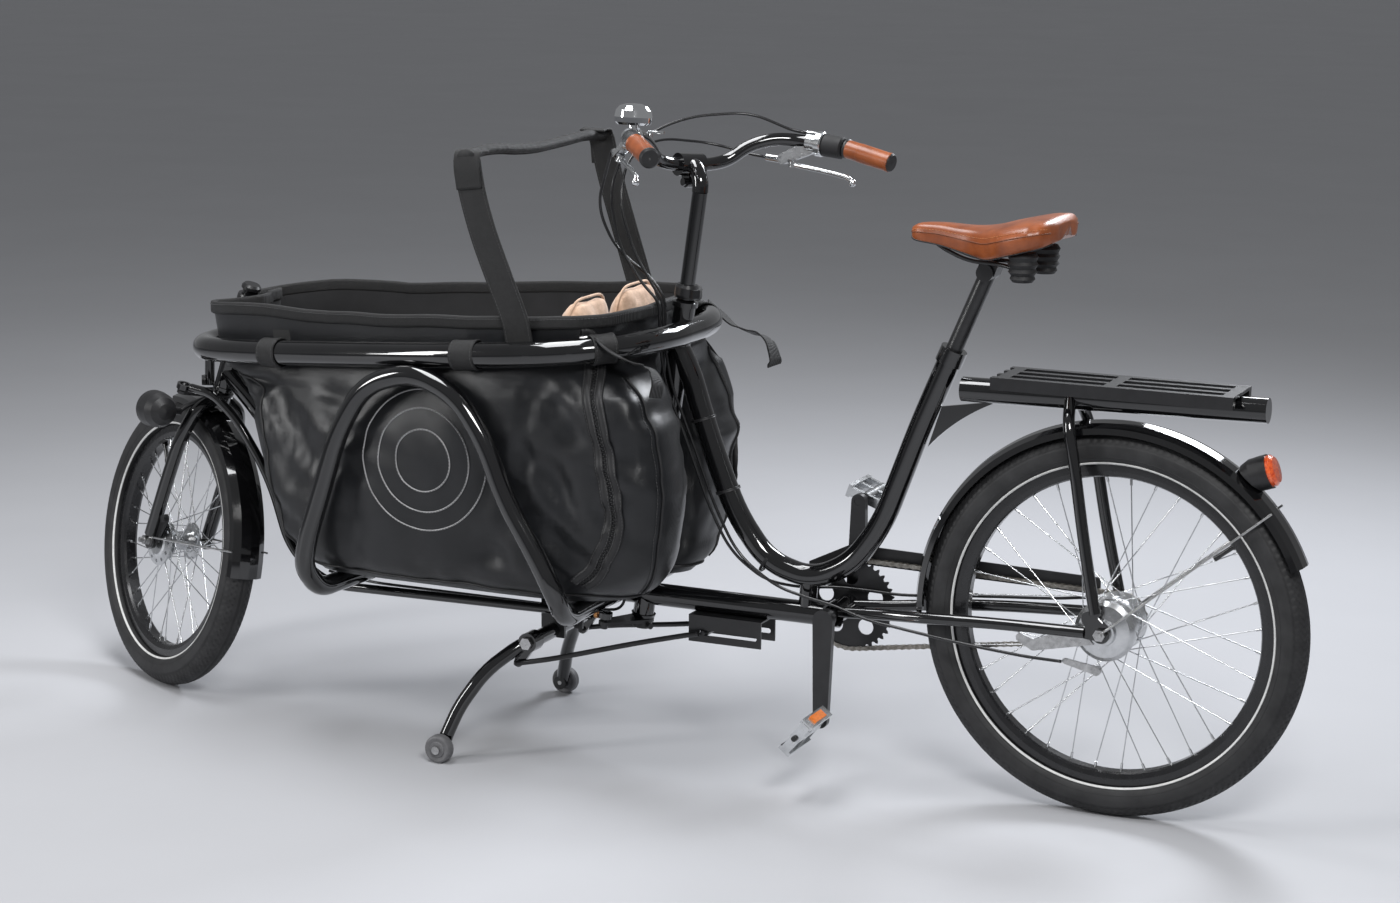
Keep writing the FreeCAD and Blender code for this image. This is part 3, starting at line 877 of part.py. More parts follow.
def outline(l, off):
    half = l[1]
    pts = half + [(a + l[2] * max(0.0, 800 - a), -b) for a, b in reversed(half[1:-1])]
    n = len(pts)
    if off:
        res = []
        for i in range(n):
            a, b, c = pts[i - 1], pts[i], pts[(i + 1) % n]
            u = (b[0] - a[0], b[1] - a[1])
            v = (c[0] - b[0], c[1] - b[1])
            lu, lv = math.hypot(*u), math.hypot(*v)
            nx, ny = u[1] / lu + v[1] / lv, -u[0] / lu - v[0] / lv
            ln = math.hypot(nx, ny)
            cosh = ln / 2
            res.append((b[0] - nx / ln * off / cosh, b[1] - ny / ln * off / cosh))
        pts = res
    return pts
def wire_at(pts, z):
    q = [V(a, b, z(a) if callable(z) else z) for a, b in pts]
    return Part.makePolygon(q + [q[0]])
def lifted(f, dz):
    return lambda x: f(x) + dz
outer = Part.makeLoft([wire_at(outline(l, 0), l[0]) for l in LEV], True, True)
inner = Part.makeLoft([wire_at(outline(l, BAG_WALL), lifted(l[0], 6.0 if i == 0 else (0.5 if i == len(LEV) - 1 else 0.0))) for i, l in enumerate(LEV)], True, True)
print('bag outer/inner', outer.isValid(), round(outer.Volume / 1e3), inner.isValid(), round(inner.Volume / 1e3))
bag = outer.cut(inner)
print('bag', len(bag.Solids), bag.isValid(), round(bag.Volume / 1e3), 'cm3')
add('cargo_bag', sorted(bag.Solids, key=lambda s: -s.Volume)[0])
fb_pts = [(x, y) for x, y in outline((None, [(1364, 0), (1364, 70), (1360, 142), (1326, 168), (1240, 178), (1110, 180), (980, 182), (884, 174), (826, 146), (799, 116), (795, 96), (813, 70), (862, 48), (878, 0)], 0.0), 3)]
add('floor_board', Part.Face(wire_at(fb_pts, 299.2)).extrude(EZ * 9))
# cushions: bench and two back pads inside the rear of the bag
cu = []
sc = box(V(972, 0, 372), 180, 330, 60)
add('seat_cushion', sc.makeFillet(14, sc.Edges))
def pad(c, sx, sy, sz, deg, f):
    b = box(c, sx, sy, sz, EY, deg)
    return b.makeFillet(f, b.Edges)
add('back_cushion_left', pad(V(884, 92, 612), 44, 150, 372, -4, 16))
add('back_cushion_right', pad(V(884, -92, 606), 44, 150, 372, -4, 16))

# strap handle: inverted U of webbing with a padded grip
def strap(pts, w, t, wd):
    """Flat strap along pts; wd is the width direction."""
    out = []
    for a, b in zip(pts[:-1], pts[1:]):
        u = (b - a).normalize()
        wv = (V(wd) - u * V(wd).dot(u)).normalize()
        n = u.cross(wv)
        q = [a - wv * w / 2 - n * t / 2, a + wv * w / 2 - n * t / 2, a + wv * w / 2 + n * t / 2, a - wv * w / 2 + n * t / 2]
        f = Part.Face(Part.makePolygon(q + [q[0]]))
        out.append(f.extrude(b - a))
    return fuse(out)
hs_pts = [V(975, 236, 770), V(1020, 238, 900), V(1050, 236, 1022), V(1048, 226, 1030), V(1046, 120, 1026), V(1044, 0, 1020), V(1044, -120, 1023), V(1042, -226, 1028), V(1040, -236, 1020), V(1000, -238, 900), V(955, -236, 770)]
hs_l = [V(945, 236, 764), V(1000, 238, 900), V(1031, 237, 1026)]
hs_r = [V(948, -236, 762), V(992, -238, 900), V(1024, -237, 1022)]
top_c = pipe([V(1031, 237, 1026), V(1036, 120, 1028), V(1034, 0, 1018), V(1032, -120, 1022), V(1024, -237, 1022)], 9)
handle = fuse([strap(hs_l, 50, 4, EX), strap(hs_r, 50, 4, EX), top_c])
print('handle', len(handle.Solids), handle.isValid())
add('strap_handle', sorted(handle.Solids, key=lambda s: -s.Volume)[0])
# straps that tie the bag to the rail: sleeves around the tube
def rail_strap(x, w, side):
    # point on the rail half outline
    hp = rail_half
    for (x0, y0), (x1, y1) in zip(hp[:-1], hp[1:]):
        if x0 <= x <= x1:
            y = y0 + (y1 - y0) * (x - x0) / (x1 - x0)
            d = V(x1 - x0, (y1 - y0), 0).normalize()
            break
    y -= 4 if x < 1100 else 2
    d = V(d.x, d.y * side, -0.105 * d.x).normalize()
    c = V(x, y * side, rail_z(x))
    s = cyl(c - d * w / 2, d, RAIL_R + 3.4, w, RAIL_R + 0.4)
    return s.cut(rail_solid)
rs = []
for sd_ in (1, -1):
    for x, w in ((1440, 40), (1030, 44), (808, 40)):
        q = rail_strap(x, w, sd_)
        rs.append(sorted(q.Solids, key=lambda s: -s.Volume)[0])
add('rail_straps', Part.makeCompound(rs))

# ============================================================== CABLES
def cable(name, pts, r):
    add(name, pipe(pts, r, report=name))
def S(p):
    return pt_turn(p, COL_A, COL_K, STEER)
BAX = V(0.90, -0.40, 0.08).normalize()
bl_loc = CLAMP_P + V(46, -25, -32) + BAX * 30
bl_end = S(pt_turn(bl_loc, CLAMP_P, CD, 22))
bl_out = S(pt_turn(bl_loc + BAX * 30, CLAMP_P, CD, 22))
mir = lambda p: V(p.x, -p.y, p.z)
br_end, br_out = S(mir(bl_loc)), S(mir(bl_loc + BAX * 30))
SHX = V(0.75, 0.5, 0.1).normalize()
sh_loc = gi + sd * (sh_len - 7) + EZ * 14 + SHX * 26
sh_end, sh_out = S(sh_loc), S(sh_loc + SHX * 28)
print('cable ends', bl_end, bl_out, br_end, br_out, sh_end, sh_out)
cable('front_brake_cable', [bl_end, bl_out, V(884, 62, 935), V(858, 46, 865), V(802, 27, 818), V(778, 23, 785), V(777, 22, 745), V(778, 22, 700), V(783, 22, 655), V(794, 22, 600), V(812, 22, 500), V(828, 20, 385),
    V(837, 22, 330), V(842, 27, 286), V(852, 30, 246), V(885, 36, 243), V(950, 45, 243), V(1090, 45, 243), V(1230, 45, 243), V(1340, 45, 243), V(1425, 38, 252)], 2.5)
cable('rear_brake_cable', [br_end, br_out, V(765, -133, 1028), V(832, -58, 1040), V(852, 18, 1010), V(850, 48, 940), V(824, 46, 860), V(792, 38, 805), V(776, 33, 778), V(777, 33, 740), V(772, 28, 690),
    V(764, 25, 640), V(722, 24, 540), V(683, 24, 440), V(640, 24, 362), V(570, 24, 316), V(506, 35, 306), V(462, 41, 301), V(400, 50, 285), V(300, 66, 275), V(200, 73, 270), V(120, 74, 264), V(62, 69, 262)], 2.5)
cable('shift_cable', [sh_end, sh_out, V(690, -120, 1084), V(780, -48, 1078), V(846, 28, 1034), V(862, 62, 965), V(846, 58, 870), V(806, 48, 808), V(779, 41, 780), V(779, 41, 740), V(778, 36, 690),
    V(771, 32, 640), V(729, 31, 540), V(690, 31, 440), V(650, 31, 368), V(600, 0, 318), V(545, -26, 306), V(490, -38, 311), V(430, -39, 311), V(372, -40, 309), V(300, -50, 315), V(200, -58, 322), V(120, -64, 327), V(52, -78, 334)], 2.5)

# wire stays of the front fender
a185 = math.radians(176)
fs = []
for s in (1, -1):
    e = FRONT_C + V(math.cos(a185) * 270, 34.8 * s, math.sin(a185) * 270)
    fs.append(steer_fork(rod(fk_pt(FORK_RAKE - 4, 62.6 * s, s0 + 8), e, 1.8)))
add('front_fender_stay', Part.makeCompound(fs))

# ================================================================= EXPORT
# one file per sub-part; pieces that are welded or bolted into one unit share it
GROUPS = {
    'boom_tube': ['boom_tube', 'boom_strut', 'bottom_bracket_shell'],
    'head_tubes': ['column_head_tube', 'front_head_tube', 'fork_headset_cups', 'column_headset_cups', 'seat_clamp'],
    'top_rail': ['top_rail', 'front_strut'],
    'side_hoops': ['side_hoop_left', 'side_hoop_right'],
    'rear_triangle': ['chain_stays', 'carrier_stays', 'rear_dropouts'],
    'carrier_spine': ['carrier_spine', 'spine_gusset', 'spine_end_plug'],
    'luggage_rack': ['luggage_rack', 'rack_brackets'],
    'rear_axle': ['rear_axle', 'brake_reaction_arm'],
    'tail_light': ['tail_light', 'tail_light_lens'],
    'stand_bracket': ['stand_bracket', 'latch_plate'],
    'cushions': ['seat_cushion', 'back_cushion_left', 'back_cushion_right'],
    'webbing_straps': ['strap_handle', 'rail_straps'],
    'column_steering_arm': ['column_steering_arm', 'column_clamp'],
    'stem': ['stem', 'stem_pinch_bolt'],
    'grips': ['grip_left', 'grip_right', 'grip_caps'],
    'bell': ['bell', 'bell_mount'],
    'brake_lever_bodies': ['brake_lever_body_left', 'brake_lever_body_right', 'shifter_housing'],
    'fork_fittings': ['fork_steering_arm', 'steerer_clamp', 'steerer_cap', 'headlight_bracket', 'front_brake_arm'],
    'front_axle': ['front_axle', 'front_fender_stay'],
    'front_hub': ['front_hub_shell', 'front_brake_unit'],
    'front_rim': ['front_rim', 'front_valve'],
    'rear_hub': ['rear_hub_shell', 'rear_brake_unit'],
    'rear_rim': ['rear_rim', 'rear_valve'],
    'crank_arms': ['crank_left', 'crank_right', 'crank_spindle', 'pedal_spindles'],
    'chainring': ['chainring', 'chainring_spider'],
    'pedal_left': ['pedal_left', 'pedal_reflectors_left'],
    'pedal_right': ['pedal_right', 'pedal_reflectors_right'],
    'seatpost': ['seatpost', 'saddle_clamp', 'saddle_rails'],
    'stand_legs': ['stand_leg_left', 'stand_leg_right', 'stand_cross_tube', 'stand_bolts'],
    'tie_rod': ['tie_rod', 'tie_rod_ends', 'tie_rod_jam_nuts'],
}
single = dict(NODES)
used = set(x for v in GROUPS.values() for x in v)
merged = []
for n, sh in NODES:
    g = [k for k, v in GROUPS.items() if n in v]
    if g:
        if g[0] not in [m for m, _ in merged]:
            sol = []
            for x in GROUPS[g[0]]:
                sol += single[x].Solids
            merged.append((g[0], Part.makeCompound(sol)))
    else:
        merged.append((n, sh))
NODES = merged
names = [n for n, _ in NODES]
lo = [1e9] * 3
hi = [-1e9] * 3
for n, s in NODES:
    v, _ = s.tessellate(0.4)
    for p in v:
        for k, c in enumerate((p.x, p.y, p.z)):
            lo[k] = min(lo[k], c)
            hi[k] = max(hi[k], c)
print('design box', [round(a, 1) for a in lo], [round(a, 1) for a in hi])
ORIGIN = V((lo[0] + hi[0]) / 2, (lo[1] + hi[1]) / 2, lo[2])
os.makedirs("parts", exist_ok=True)
for n, s in NODES:
    t = s.copy()
    t.translate(-ORIGIN)
    if not t.isValid():
        print('INVALID', n)
    if t.Volume <= 0:
        print('NEGATIVE', n, t.Volume)
    t.exportStep(os.path.join("parts", n + ".step"))
def row(v):
    return [round(v.x, 3), round(v.y, 3), round(v.z, 3)]
print('REFS', {'origin': row(ORIGIN), 'rear_axle': row(REAR_AXLE), 'bb': row(BB), 'fork_a': row(FORK_A), 'fork_k': [FORK_K.x, FORK_K.y, FORK_K.z],
               'col_a': row(COL_A), 'col_k': [COL_K.x, COL_K.y, COL_K.z], 'front_c': row(pt_turn(FRONT_C, FORK_A, FORK_K, STEER)),
               'front_n': [n_t.x, n_t.y, n_t.z], 'pl': row(PL), 'pr': row(PR), 'll_p': row(S(LL_P)), 'lr_p': row(S(LR_P)),
               'll_a': row(FreeCAD.Rotation(COL_K, STEER).multVec(LL_A)), 'lr_a': row(FreeCAD.Rotation(COL_K, STEER).multVec(LR_A)),
               'sh_p': row(S(SH_P)), 'sh_a': row(FreeCAD.Rotation(COL_K, STEER).multVec(SH_A)), 'blv_p': row(S(BLV_P)), 'col_z': row(FreeCAD.Rotation(COL_K, STEER).multVec(EZ)),
               'ca_ball': row(CA_BALL), 'fa_ball': row(FA_BALL), 'stand': row(STAND_PIVOT), 'roller': row(ROLLER), 'post_k': [POST_K.x, POST_K.y, POST_K.z],
               'post_b': row(POST_B), 'lamp_p': row(LAMP_P), 'lamp_n': [n_l.x, n_l.y, n_l.z], 'rba_p': row(RBA_P), 'slide0': row(SLIDE0)})
print('NODES', len(names), 'files;', sum(len(s.Solids) for _, s in NODES), 'solids')
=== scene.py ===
import json
import math
import random

import bmesh
import bpy
import numpy as np
from mathutils import Matrix, Vector, noise
from mathutils.bvhtree import BVHTree

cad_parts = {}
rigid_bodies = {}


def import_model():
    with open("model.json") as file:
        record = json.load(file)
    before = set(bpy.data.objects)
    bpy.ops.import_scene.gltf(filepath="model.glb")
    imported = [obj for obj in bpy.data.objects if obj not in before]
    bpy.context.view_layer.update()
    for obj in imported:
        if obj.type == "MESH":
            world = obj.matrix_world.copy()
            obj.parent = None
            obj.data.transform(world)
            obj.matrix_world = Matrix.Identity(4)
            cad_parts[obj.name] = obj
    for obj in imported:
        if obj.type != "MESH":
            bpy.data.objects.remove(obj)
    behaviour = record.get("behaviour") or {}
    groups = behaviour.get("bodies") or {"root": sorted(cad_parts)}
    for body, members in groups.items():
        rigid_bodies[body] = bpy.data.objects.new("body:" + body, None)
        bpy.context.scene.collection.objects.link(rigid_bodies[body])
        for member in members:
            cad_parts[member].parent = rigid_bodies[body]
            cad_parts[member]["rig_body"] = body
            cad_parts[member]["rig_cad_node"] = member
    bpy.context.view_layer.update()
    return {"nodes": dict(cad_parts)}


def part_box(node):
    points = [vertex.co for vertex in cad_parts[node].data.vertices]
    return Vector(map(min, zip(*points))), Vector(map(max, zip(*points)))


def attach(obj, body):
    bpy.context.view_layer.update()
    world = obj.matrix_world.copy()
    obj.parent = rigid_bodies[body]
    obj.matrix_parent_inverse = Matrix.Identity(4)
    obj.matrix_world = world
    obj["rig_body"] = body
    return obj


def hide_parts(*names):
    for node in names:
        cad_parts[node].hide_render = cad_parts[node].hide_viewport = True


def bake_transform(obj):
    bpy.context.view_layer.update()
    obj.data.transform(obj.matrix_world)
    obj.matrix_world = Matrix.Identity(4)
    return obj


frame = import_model()
nodes = frame["nodes"]
random.seed(7)
lo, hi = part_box("rear_tyre")
SH = (lo + hi) / 2 - Vector((0, 0, 0.3135))


def D(x, y, z):
    """Design point in millimetres to the frame."""
    return Vector((x / 1000.0, y / 1000.0, z / 1000.0)) + SH


# ------------------------------------------------------------------ materials
def sock(nt, kind, **kw):
    n = nt.nodes.new(kind)
    for k, v in kw.items():
        if k in n.inputs:
            n.inputs[k].default_value = v
        else:
            setattr(n, k, v)
    return n


def surface(name, base, rough=0.5, metallic=0.0, coat=0.0, coat_rough=0.05, var=0.2, var_scale=40.0, rough_var=0.1, bumps=(), sheen=0.0, spec=0.5, warp=None, second=None, transmission=0.0, ior=1.45, aniso=0.0, emit=None):
    m = bpy.data.materials.new(name)
    m.use_nodes = True
    nt = m.node_tree
    b = nt.nodes["Principled BSDF"]
    L = nt.links.new
    tc = nt.nodes.new("ShaderNodeTexCoord")
    vec = tc.outputs["Object"]
    n1 = sock(nt, "ShaderNodeTexNoise", Scale=var_scale, Detail=6.0, Roughness=0.6)
    L(vec, n1.inputs["Vector"])
    ramp = nt.nodes.new("ShaderNodeValToRGB")
    c0 = [max(0.0, c * (1 - var)) for c in base]
    c1 = [min(1.0, c * (1 + var)) for c in base] if second is None else list(second)
    ramp.color_ramp.elements[0].position = 0.35
    ramp.color_ramp.elements[0].color = (*c0, 1)
    ramp.color_ramp.elements[1].position = 0.68
    ramp.color_ramp.elements[1].color = (*c1, 1)
    L(n1.outputs["Fac"], ramp.inputs["Fac"])
    L(ramp.outputs["Color"], b.inputs["Base Color"])
    n2 = sock(nt, "ShaderNodeTexNoise", Scale=var_scale * 2.3, Detail=4.0)
    L(vec, n2.inputs["Vector"])
    mr = sock(nt, "ShaderNodeMapRange")
    mr.inputs["To Min"].default_value = max(0.02, rough - rough_var)
    mr.inputs["To Max"].default_value = min(1.0, rough + rough_var)
    L(n2.outputs["Fac"], mr.inputs["Value"])
    L(mr.outputs["Result"], b.inputs["Roughness"])
    b.inputs["Metallic"].default_value = metallic
    b.inputs["Coat Weight"].default_value = coat
    b.inputs["Coat Roughness"].default_value = coat_rough
    b.inputs["Specular IOR Level"].default_value = spec
    b.inputs["Sheen Weight"].default_value = sheen
    b.inputs["Transmission Weight"].default_value = transmission
    b.inputs["IOR"].default_value = ior
    b.inputs["Anisotropic"].default_value = aniso
    if emit:
        b.inputs["Emission Color"].default_value = (*base, 1)
        b.inputs["Emission Strength"].default_value = emit
    last = None
    for kind, scale, strength, dist in bumps:
        if kind == "noise":
            t = sock(nt, "ShaderNodeTexNoise", Scale=scale, Detail=5.0)
            out = t.outputs["Fac"]
            L(vec, t.inputs["Vector"])
        elif kind == "voronoi":
            t = sock(nt, "ShaderNodeTexVoronoi", Scale=scale)
            out = t.outputs["Distance"]
            L(vec, t.inputs["Vector"])
        elif kind == "weave":
            wx = sock(nt, "ShaderNodeTexWave", Scale=scale, bands_direction="X")
            wz = sock(nt, "ShaderNodeTexWave", Scale=scale, bands_direction="Z")
            L(vec, wx.inputs["Vector"])
            L(vec, wz.inputs["Vector"])
            mx = sock(nt, "ShaderNodeMath", operation="MULTIPLY")
            L(wx.outputs["Fac"], mx.inputs[0])
            L(wz.outputs["Fac"], mx.inputs[1])
            out = mx.outputs[0]
        else:
            t = sock(nt, "ShaderNodeTexWave", Scale=scale, bands_direction=kind)
            out = t.outputs["Fac"]
            L(vec, t.inputs["Vector"])
        bp = sock(nt, "ShaderNodeBump", Strength=strength, Distance=dist)
        L(out, bp.inputs["Height"])
        if last:
            L(last.outputs["Normal"], bp.inputs["Normal"])
        last = bp
    if last:
        L(last.outputs["Normal"], b.inputs["Normal"])
    return m


ENAMEL = surface("enamel_black", (0.004, 0.004, 0.0045), 0.09, coat=1.0, coat_rough=0.03, rough_var=0.03, var_scale=18, bumps=[("noise", 260, 0.03, 0.0004)])
SATIN = surface("satin_black", (0.011, 0.011, 0.012), 0.34, coat=0.25, coat_rough=0.25, rough_var=0.08, bumps=[("noise", 900, 0.08, 0.0003)])
RIMBLK = surface("rim_black", (0.008, 0.008, 0.009), 0.26, coat=0.4, coat_rough=0.15, bumps=[("noise", 500, 0.05, 0.0003)])
ALLOY = surface("alloy", (0.62, 0.63, 0.64), 0.24, metallic=1.0, var=0.12, var_scale=60, rough_var=0.09, bumps=[("noise", 700, 0.08, 0.0003)], aniso=0.3)
STEEL = surface("zinc_steel", (0.5, 0.5, 0.5), 0.3, metallic=1.0, var=0.22, var_scale=90, rough_var=0.1, bumps=[("noise", 900, 0.1, 0.0003)])
CHROME = surface("chrome", (0.86, 0.87, 0.88), 0.05, metallic=1.0, var=0.03, rough_var=0.03, bumps=[("noise", 300, 0.02, 0.0002)])
BRASS = surface("brass", (0.62, 0.3, 0.12), 0.3, metallic=1.0, var=0.2, bumps=[("noise", 600, 0.08, 0.0003)])
SPOKE = surface("spoke_steel", (0.66, 0.67, 0.68), 0.22, metallic=1.0, var=0.1, var_scale=60, bumps=[("noise", 400, 0.03, 0.0002)])
TYRE = surface("tyre_rubber", (0.017, 0.017, 0.018), 0.62, var=0.25, var_scale=26, rough_var=0.1, second=(0.026, 0.026, 0.027), bumps=[("noise", 700, 0.25, 0.0006), ("noise", 90, 0.1, 0.001)])
STRIPE = surface("tyre_reflex", (0.62, 0.62, 0.61), 0.5, var=0.1, var_scale=120, bumps=[("voronoi", 1500, 0.15, 0.0003)])
PLASTIC = surface("black_plastic", (0.014, 0.014, 0.015), 0.42, rough_var=0.1, bumps=[("noise", 1200, 0.18, 0.0003)])
RUBBER = surface("black_rubber", (0.012, 0.012, 0.013), 0.6, rough_var=0.12, bumps=[("noise", 800, 0.25, 0.0004)])
ROLLER = surface("roller_grey", (0.13, 0.13, 0.135), 0.5, var=0.25, bumps=[("noise", 500, 0.15, 0.0004)])
LEATHER = surface("leather_brown", (0.22, 0.052, 0.013), 0.34, var=0.22, var_scale=22, rough_var=0.1, coat=0.12, coat_rough=0.3, second=(0.31, 0.082, 0.022), bumps=[("voronoi", 700, 0.12, 0.0004), ("noise", 160, 0.12, 0.0007)])
SEAM = surface("leather_seam", (0.15, 0.04, 0.012), 0.5, bumps=[("noise", 600, 0.2, 0.0004)])
THREAD = surface("thread_dark", (0.07, 0.07, 0.072), 0.7, bumps=[("X", 600, 0.3, 0.0002)])
THREADB = surface("thread_tan", (0.5, 0.2, 0.08), 0.7, bumps=[("X", 600, 0.3, 0.0002)])
BAG = surface("coated_cloth", (0.0065, 0.007, 0.0082), 0.33, var=0.2, var_scale=9, rough_var=0.06, second=(0.0105, 0.0112, 0.013), sheen=0.03, spec=0.5, bumps=[("noise", 34, 0.1, 0.004), ("weave", 260, 0.25, 0.0004), ("noise", 900, 0.12, 0.0003)])
LINING = surface("bag_lining", (0.008, 0.008, 0.009), 0.75, var=0.25, var_scale=12, sheen=0.06, bumps=[("weave", 300, 0.4, 0.0005), ("noise", 60, 0.15, 0.002)])
PIPING = surface("piping_grey", (0.34, 0.34, 0.345), 0.5, bumps=[("noise", 900, 0.3, 0.0003)])
PIPEBLK = surface("piping_black", (0.012, 0.012, 0.013), 0.5, bumps=[("noise", 900, 0.3, 0.0003)])
WEB = surface("webbing_black", (0.0045, 0.0045, 0.005), 0.6, var=0.3, var_scale=120, rough_var=0.1, sheen=0.04, second=(0.009, 0.009, 0.0095), bumps=[("X", 190, 0.6, 0.0006), ("Z", 260, 0.45, 0.0005)])
CLOTH = surface("cushion_beige", (0.56, 0.36, 0.24), 0.85, var=0.1, var_scale=60, rough_var=0.06, sheen=0.4, second=(0.76, 0.53, 0.38), bumps=[("weave", 240, 0.5, 0.0006), ("noise", 800, 0.3, 0.0005)])
BOARD = surface("stained_board", (0.03, 0.025, 0.02), 0.6, var=0.4, var_scale=10, bumps=[("Y", 30, 0.2, 0.0006), ("noise", 220, 0.2, 0.0006)])
CABLE = surface("cable_housing", (0.01, 0.01, 0.011), 0.3, coat=0.3, bumps=[("noise", 900, 0.1, 0.0003)])
LENS_R = surface("lens_red", (0.62, 0.045, 0.01), 0.12, coat=1.0, var=0.2, var_scale=220, second=(0.9, 0.16, 0.03), bumps=[("voronoi", 420, 0.5, 0.001)])
LENS_C = surface("lens_clear", (0.7, 0.72, 0.74), 0.08, coat=1.0, metallic=0.5, var=0.2, var_scale=200, bumps=[("X", 60, 0.5, 0.001)])
REFL = surface("reflector_amber", (0.85, 0.2, 0.01), 0.15, coat=1.0, var=0.2, var_scale=300, bumps=[("voronoi", 520, 0.5, 0.001)])
CHAINM = surface("chain_steel", (0.3, 0.28, 0.25), 0.36, metallic=1.0, var=0.35, var_scale=160, second=(0.42, 0.4, 0.36), bumps=[("noise", 900, 0.15, 0.0003)])

BY_NODE = {
    "main_tube": ENAMEL, "boom_tube": ENAMEL, "head_tubes": ENAMEL, "top_rail": ENAMEL, "side_hoops": ENAMEL, "rear_triangle": ENAMEL, "carrier_spine": ENAMEL,
    "luggage_rack": SATIN, "chain_guard": PLASTIC, "rear_fender": ENAMEL, "rear_axle": STEEL, "tail_light": PLASTIC, "stand_bracket": SATIN, "cargo_bag": BAG,
    "floor_board": BOARD, "cushions": CLOTH, "webbing_straps": WEB, "front_brake_cable": CABLE, "rear_brake_cable": CABLE, "shift_cable": CABLE,
    "steering_column": ENAMEL, "column_steering_arm": SATIN, "stem": ENAMEL, "handlebar": ENAMEL, "grips": LEATHER, "bell": CHROME, "brake_lever_bodies": ALLOY,
    "brake_lever_left": ALLOY, "brake_lever_right": ALLOY, "bell_lever": CHROME, "twist_shifter": RUBBER, "fork": ENAMEL, "fork_fittings": SATIN, "front_axle": STEEL,
    "front_fender": ENAMEL, "headlight": PLASTIC, "front_tyre": TYRE, "front_hub": ALLOY, "front_rim": RIMBLK, "front_spokes": SPOKE, "rear_tyre": TYRE,
    "rear_hub": ALLOY, "rear_rim": RIMBLK, "rear_spokes": SPOKE, "sprocket": STEEL, "crank_arms": SATIN, "chainring": SATIN, "chain": CHAINM, "pedal_left": ALLOY,
    "pedal_right": ALLOY, "seatpost": SATIN, "saddle": LEATHER, "saddle_springs": RUBBER, "stand_legs": ENAMEL, "stand_roller_left": ROLLER,
    "stand_roller_right": ROLLER, "stand_rods": SATIN, "latch_slider": SATIN, "tie_rod": ENAMEL, "rear_brake_arm": STEEL}
for n, o in nodes.items():
    o.data.materials.clear()
    o.data.materials.append(BY_NODE[n])


def islands(o):
    """Solids of a CAD node as (faces, lowest corner, highest corner)."""
    me = o.data
    key, ids = {}, []
    for v in me.vertices:
        k = (round(v.co.x, 5), round(v.co.y, 5), round(v.co.z, 5))
        ids.append(key.setdefault(k, len(key)))
    par = list(range(len(key)))

    def find(a):
        while par[a] != a:
            par[a] = par[par[a]]
            a = par[a]
        return a
    for p in me.polygons:
        vs = [ids[i] for i in p.vertices]
        r = find(vs[0])
        for q in vs[1:]:
            par[find(q)] = r
    out = {}
    for p in me.polygons:
        out.setdefault(find(ids[p.vertices[0]]), []).append(p.index)
    res = []
    for faces in out.values():
        co = np.array([me.vertices[i].co for f in faces for i in me.polygons[f].vertices])
        res.append((faces, Vector(co.min(0)), Vector(co.max(0))))
    res.sort(key=lambda r: -(r[2] - r[1]).length)
    return res


def paint(node, mat, rule):
    o = nodes[node]
    idx = len(o.data.materials)
    o.data.materials.append(mat)
    k = 0
    for faces, a, b in islands(o):
        if rule(a, b):
            k += 1
            for f in faces:
                o.data.polygons[f].material_index = idx
    return k


def paint_faces(node, mat, rule):
    o = nodes[node]
    idx = len(o.data.materials)
    o.data.materials.append(mat)
    for p in o.data.polygons:
        if rule(p.center, p.normal):
            p.material_index = idx


size = lambda a, b: (b - a).length
# dark caps on the outer ends of the grips
gco = np.array([v.co for v in nodes["grips"].data.vertices])
for sgn in (1, -1):
    sel = gco[(gco[:, 1] - SH.y) * sgn > 0]
    gc = sel.mean(0)
    gx = np.linalg.svd(sel - gc, full_matrices=False)[2][0]
    if (gx @ np.array([0, sgn, 0])) < 0:
        gx = -gx
    far = ((sel - gc) @ gx).max()
    near = ((sel - gc) @ gx).min()
    paint_faces("grips", PLASTIC, lambda c, n, gc=gc, gx=gx, far=far, near=near, sgn=sgn: (c.y - SH.y) * sgn > 0 and ((np.array(c) - gc) @ gx > far - 0.0072 or (np.array(c) - gc) @ gx < near + 0.003))
paint("pedal_left", REFL, lambda a, b: size(a, b) < 0.06)
paint("pedal_right", REFL, lambda a, b: size(a, b) < 0.06)
paint("tail_light", LENS_R, lambda a, b: a.x < (D(-238, 0, 0)).x and size(a, b) < 0.09)
paint("tie_rod", BRASS, lambda a, b: size(a, b) < 0.022)
paint("stand_legs", STEEL, lambda a, b: size(a, b) < 0.05)

# ------------------------------------------------------------------ mesh help
def make(name, verts, faces, mat, smooth=True, mats=None, fmat=None):
    me = bpy.data.meshes.new(name)
    me.from_pydata([tuple(v) for v in verts], [], faces)
    for m in (mats or [mat]):
        me.materials.append(m)
    if fmat is not None:
        me.polygons.foreach_set("material_index", fmat)
    me.polygons.foreach_set("use_smooth", [smooth] * len(me.polygons))
    me.update()
    o = bpy.data.objects.new(name, me)
    bpy.context.scene.collection.objects.link(o)
    return o


def cr(pts, n, closed=False):
    """Catmull-Rom through pts, n pieces to each span."""
    P = [Vector(p) for p in pts]
    m = len(P)
    out = []
    spans = m if closed else m - 1
    for i in range(spans):
        if closed:
            a, b, c, d = P[i - 1], P[i], P[(i + 1) % m], P[(i + 2) % m]
        else:
            b, c = P[i], P[i + 1]
            a = P[i - 1] if i else b * 2 - c
            d = P[i + 2] if i + 2 < m else c * 2 - b
        for k in range(n):
            t = k / n
            out.append(0.5 * ((2 * b) + (c - a) * t + (2 * a - 5 * b + 4 * c - d) * t * t + (3 * b - a - 3 * c + d) * t ** 3))
    if not closed:
        out.append(P[-1].copy())
    return out


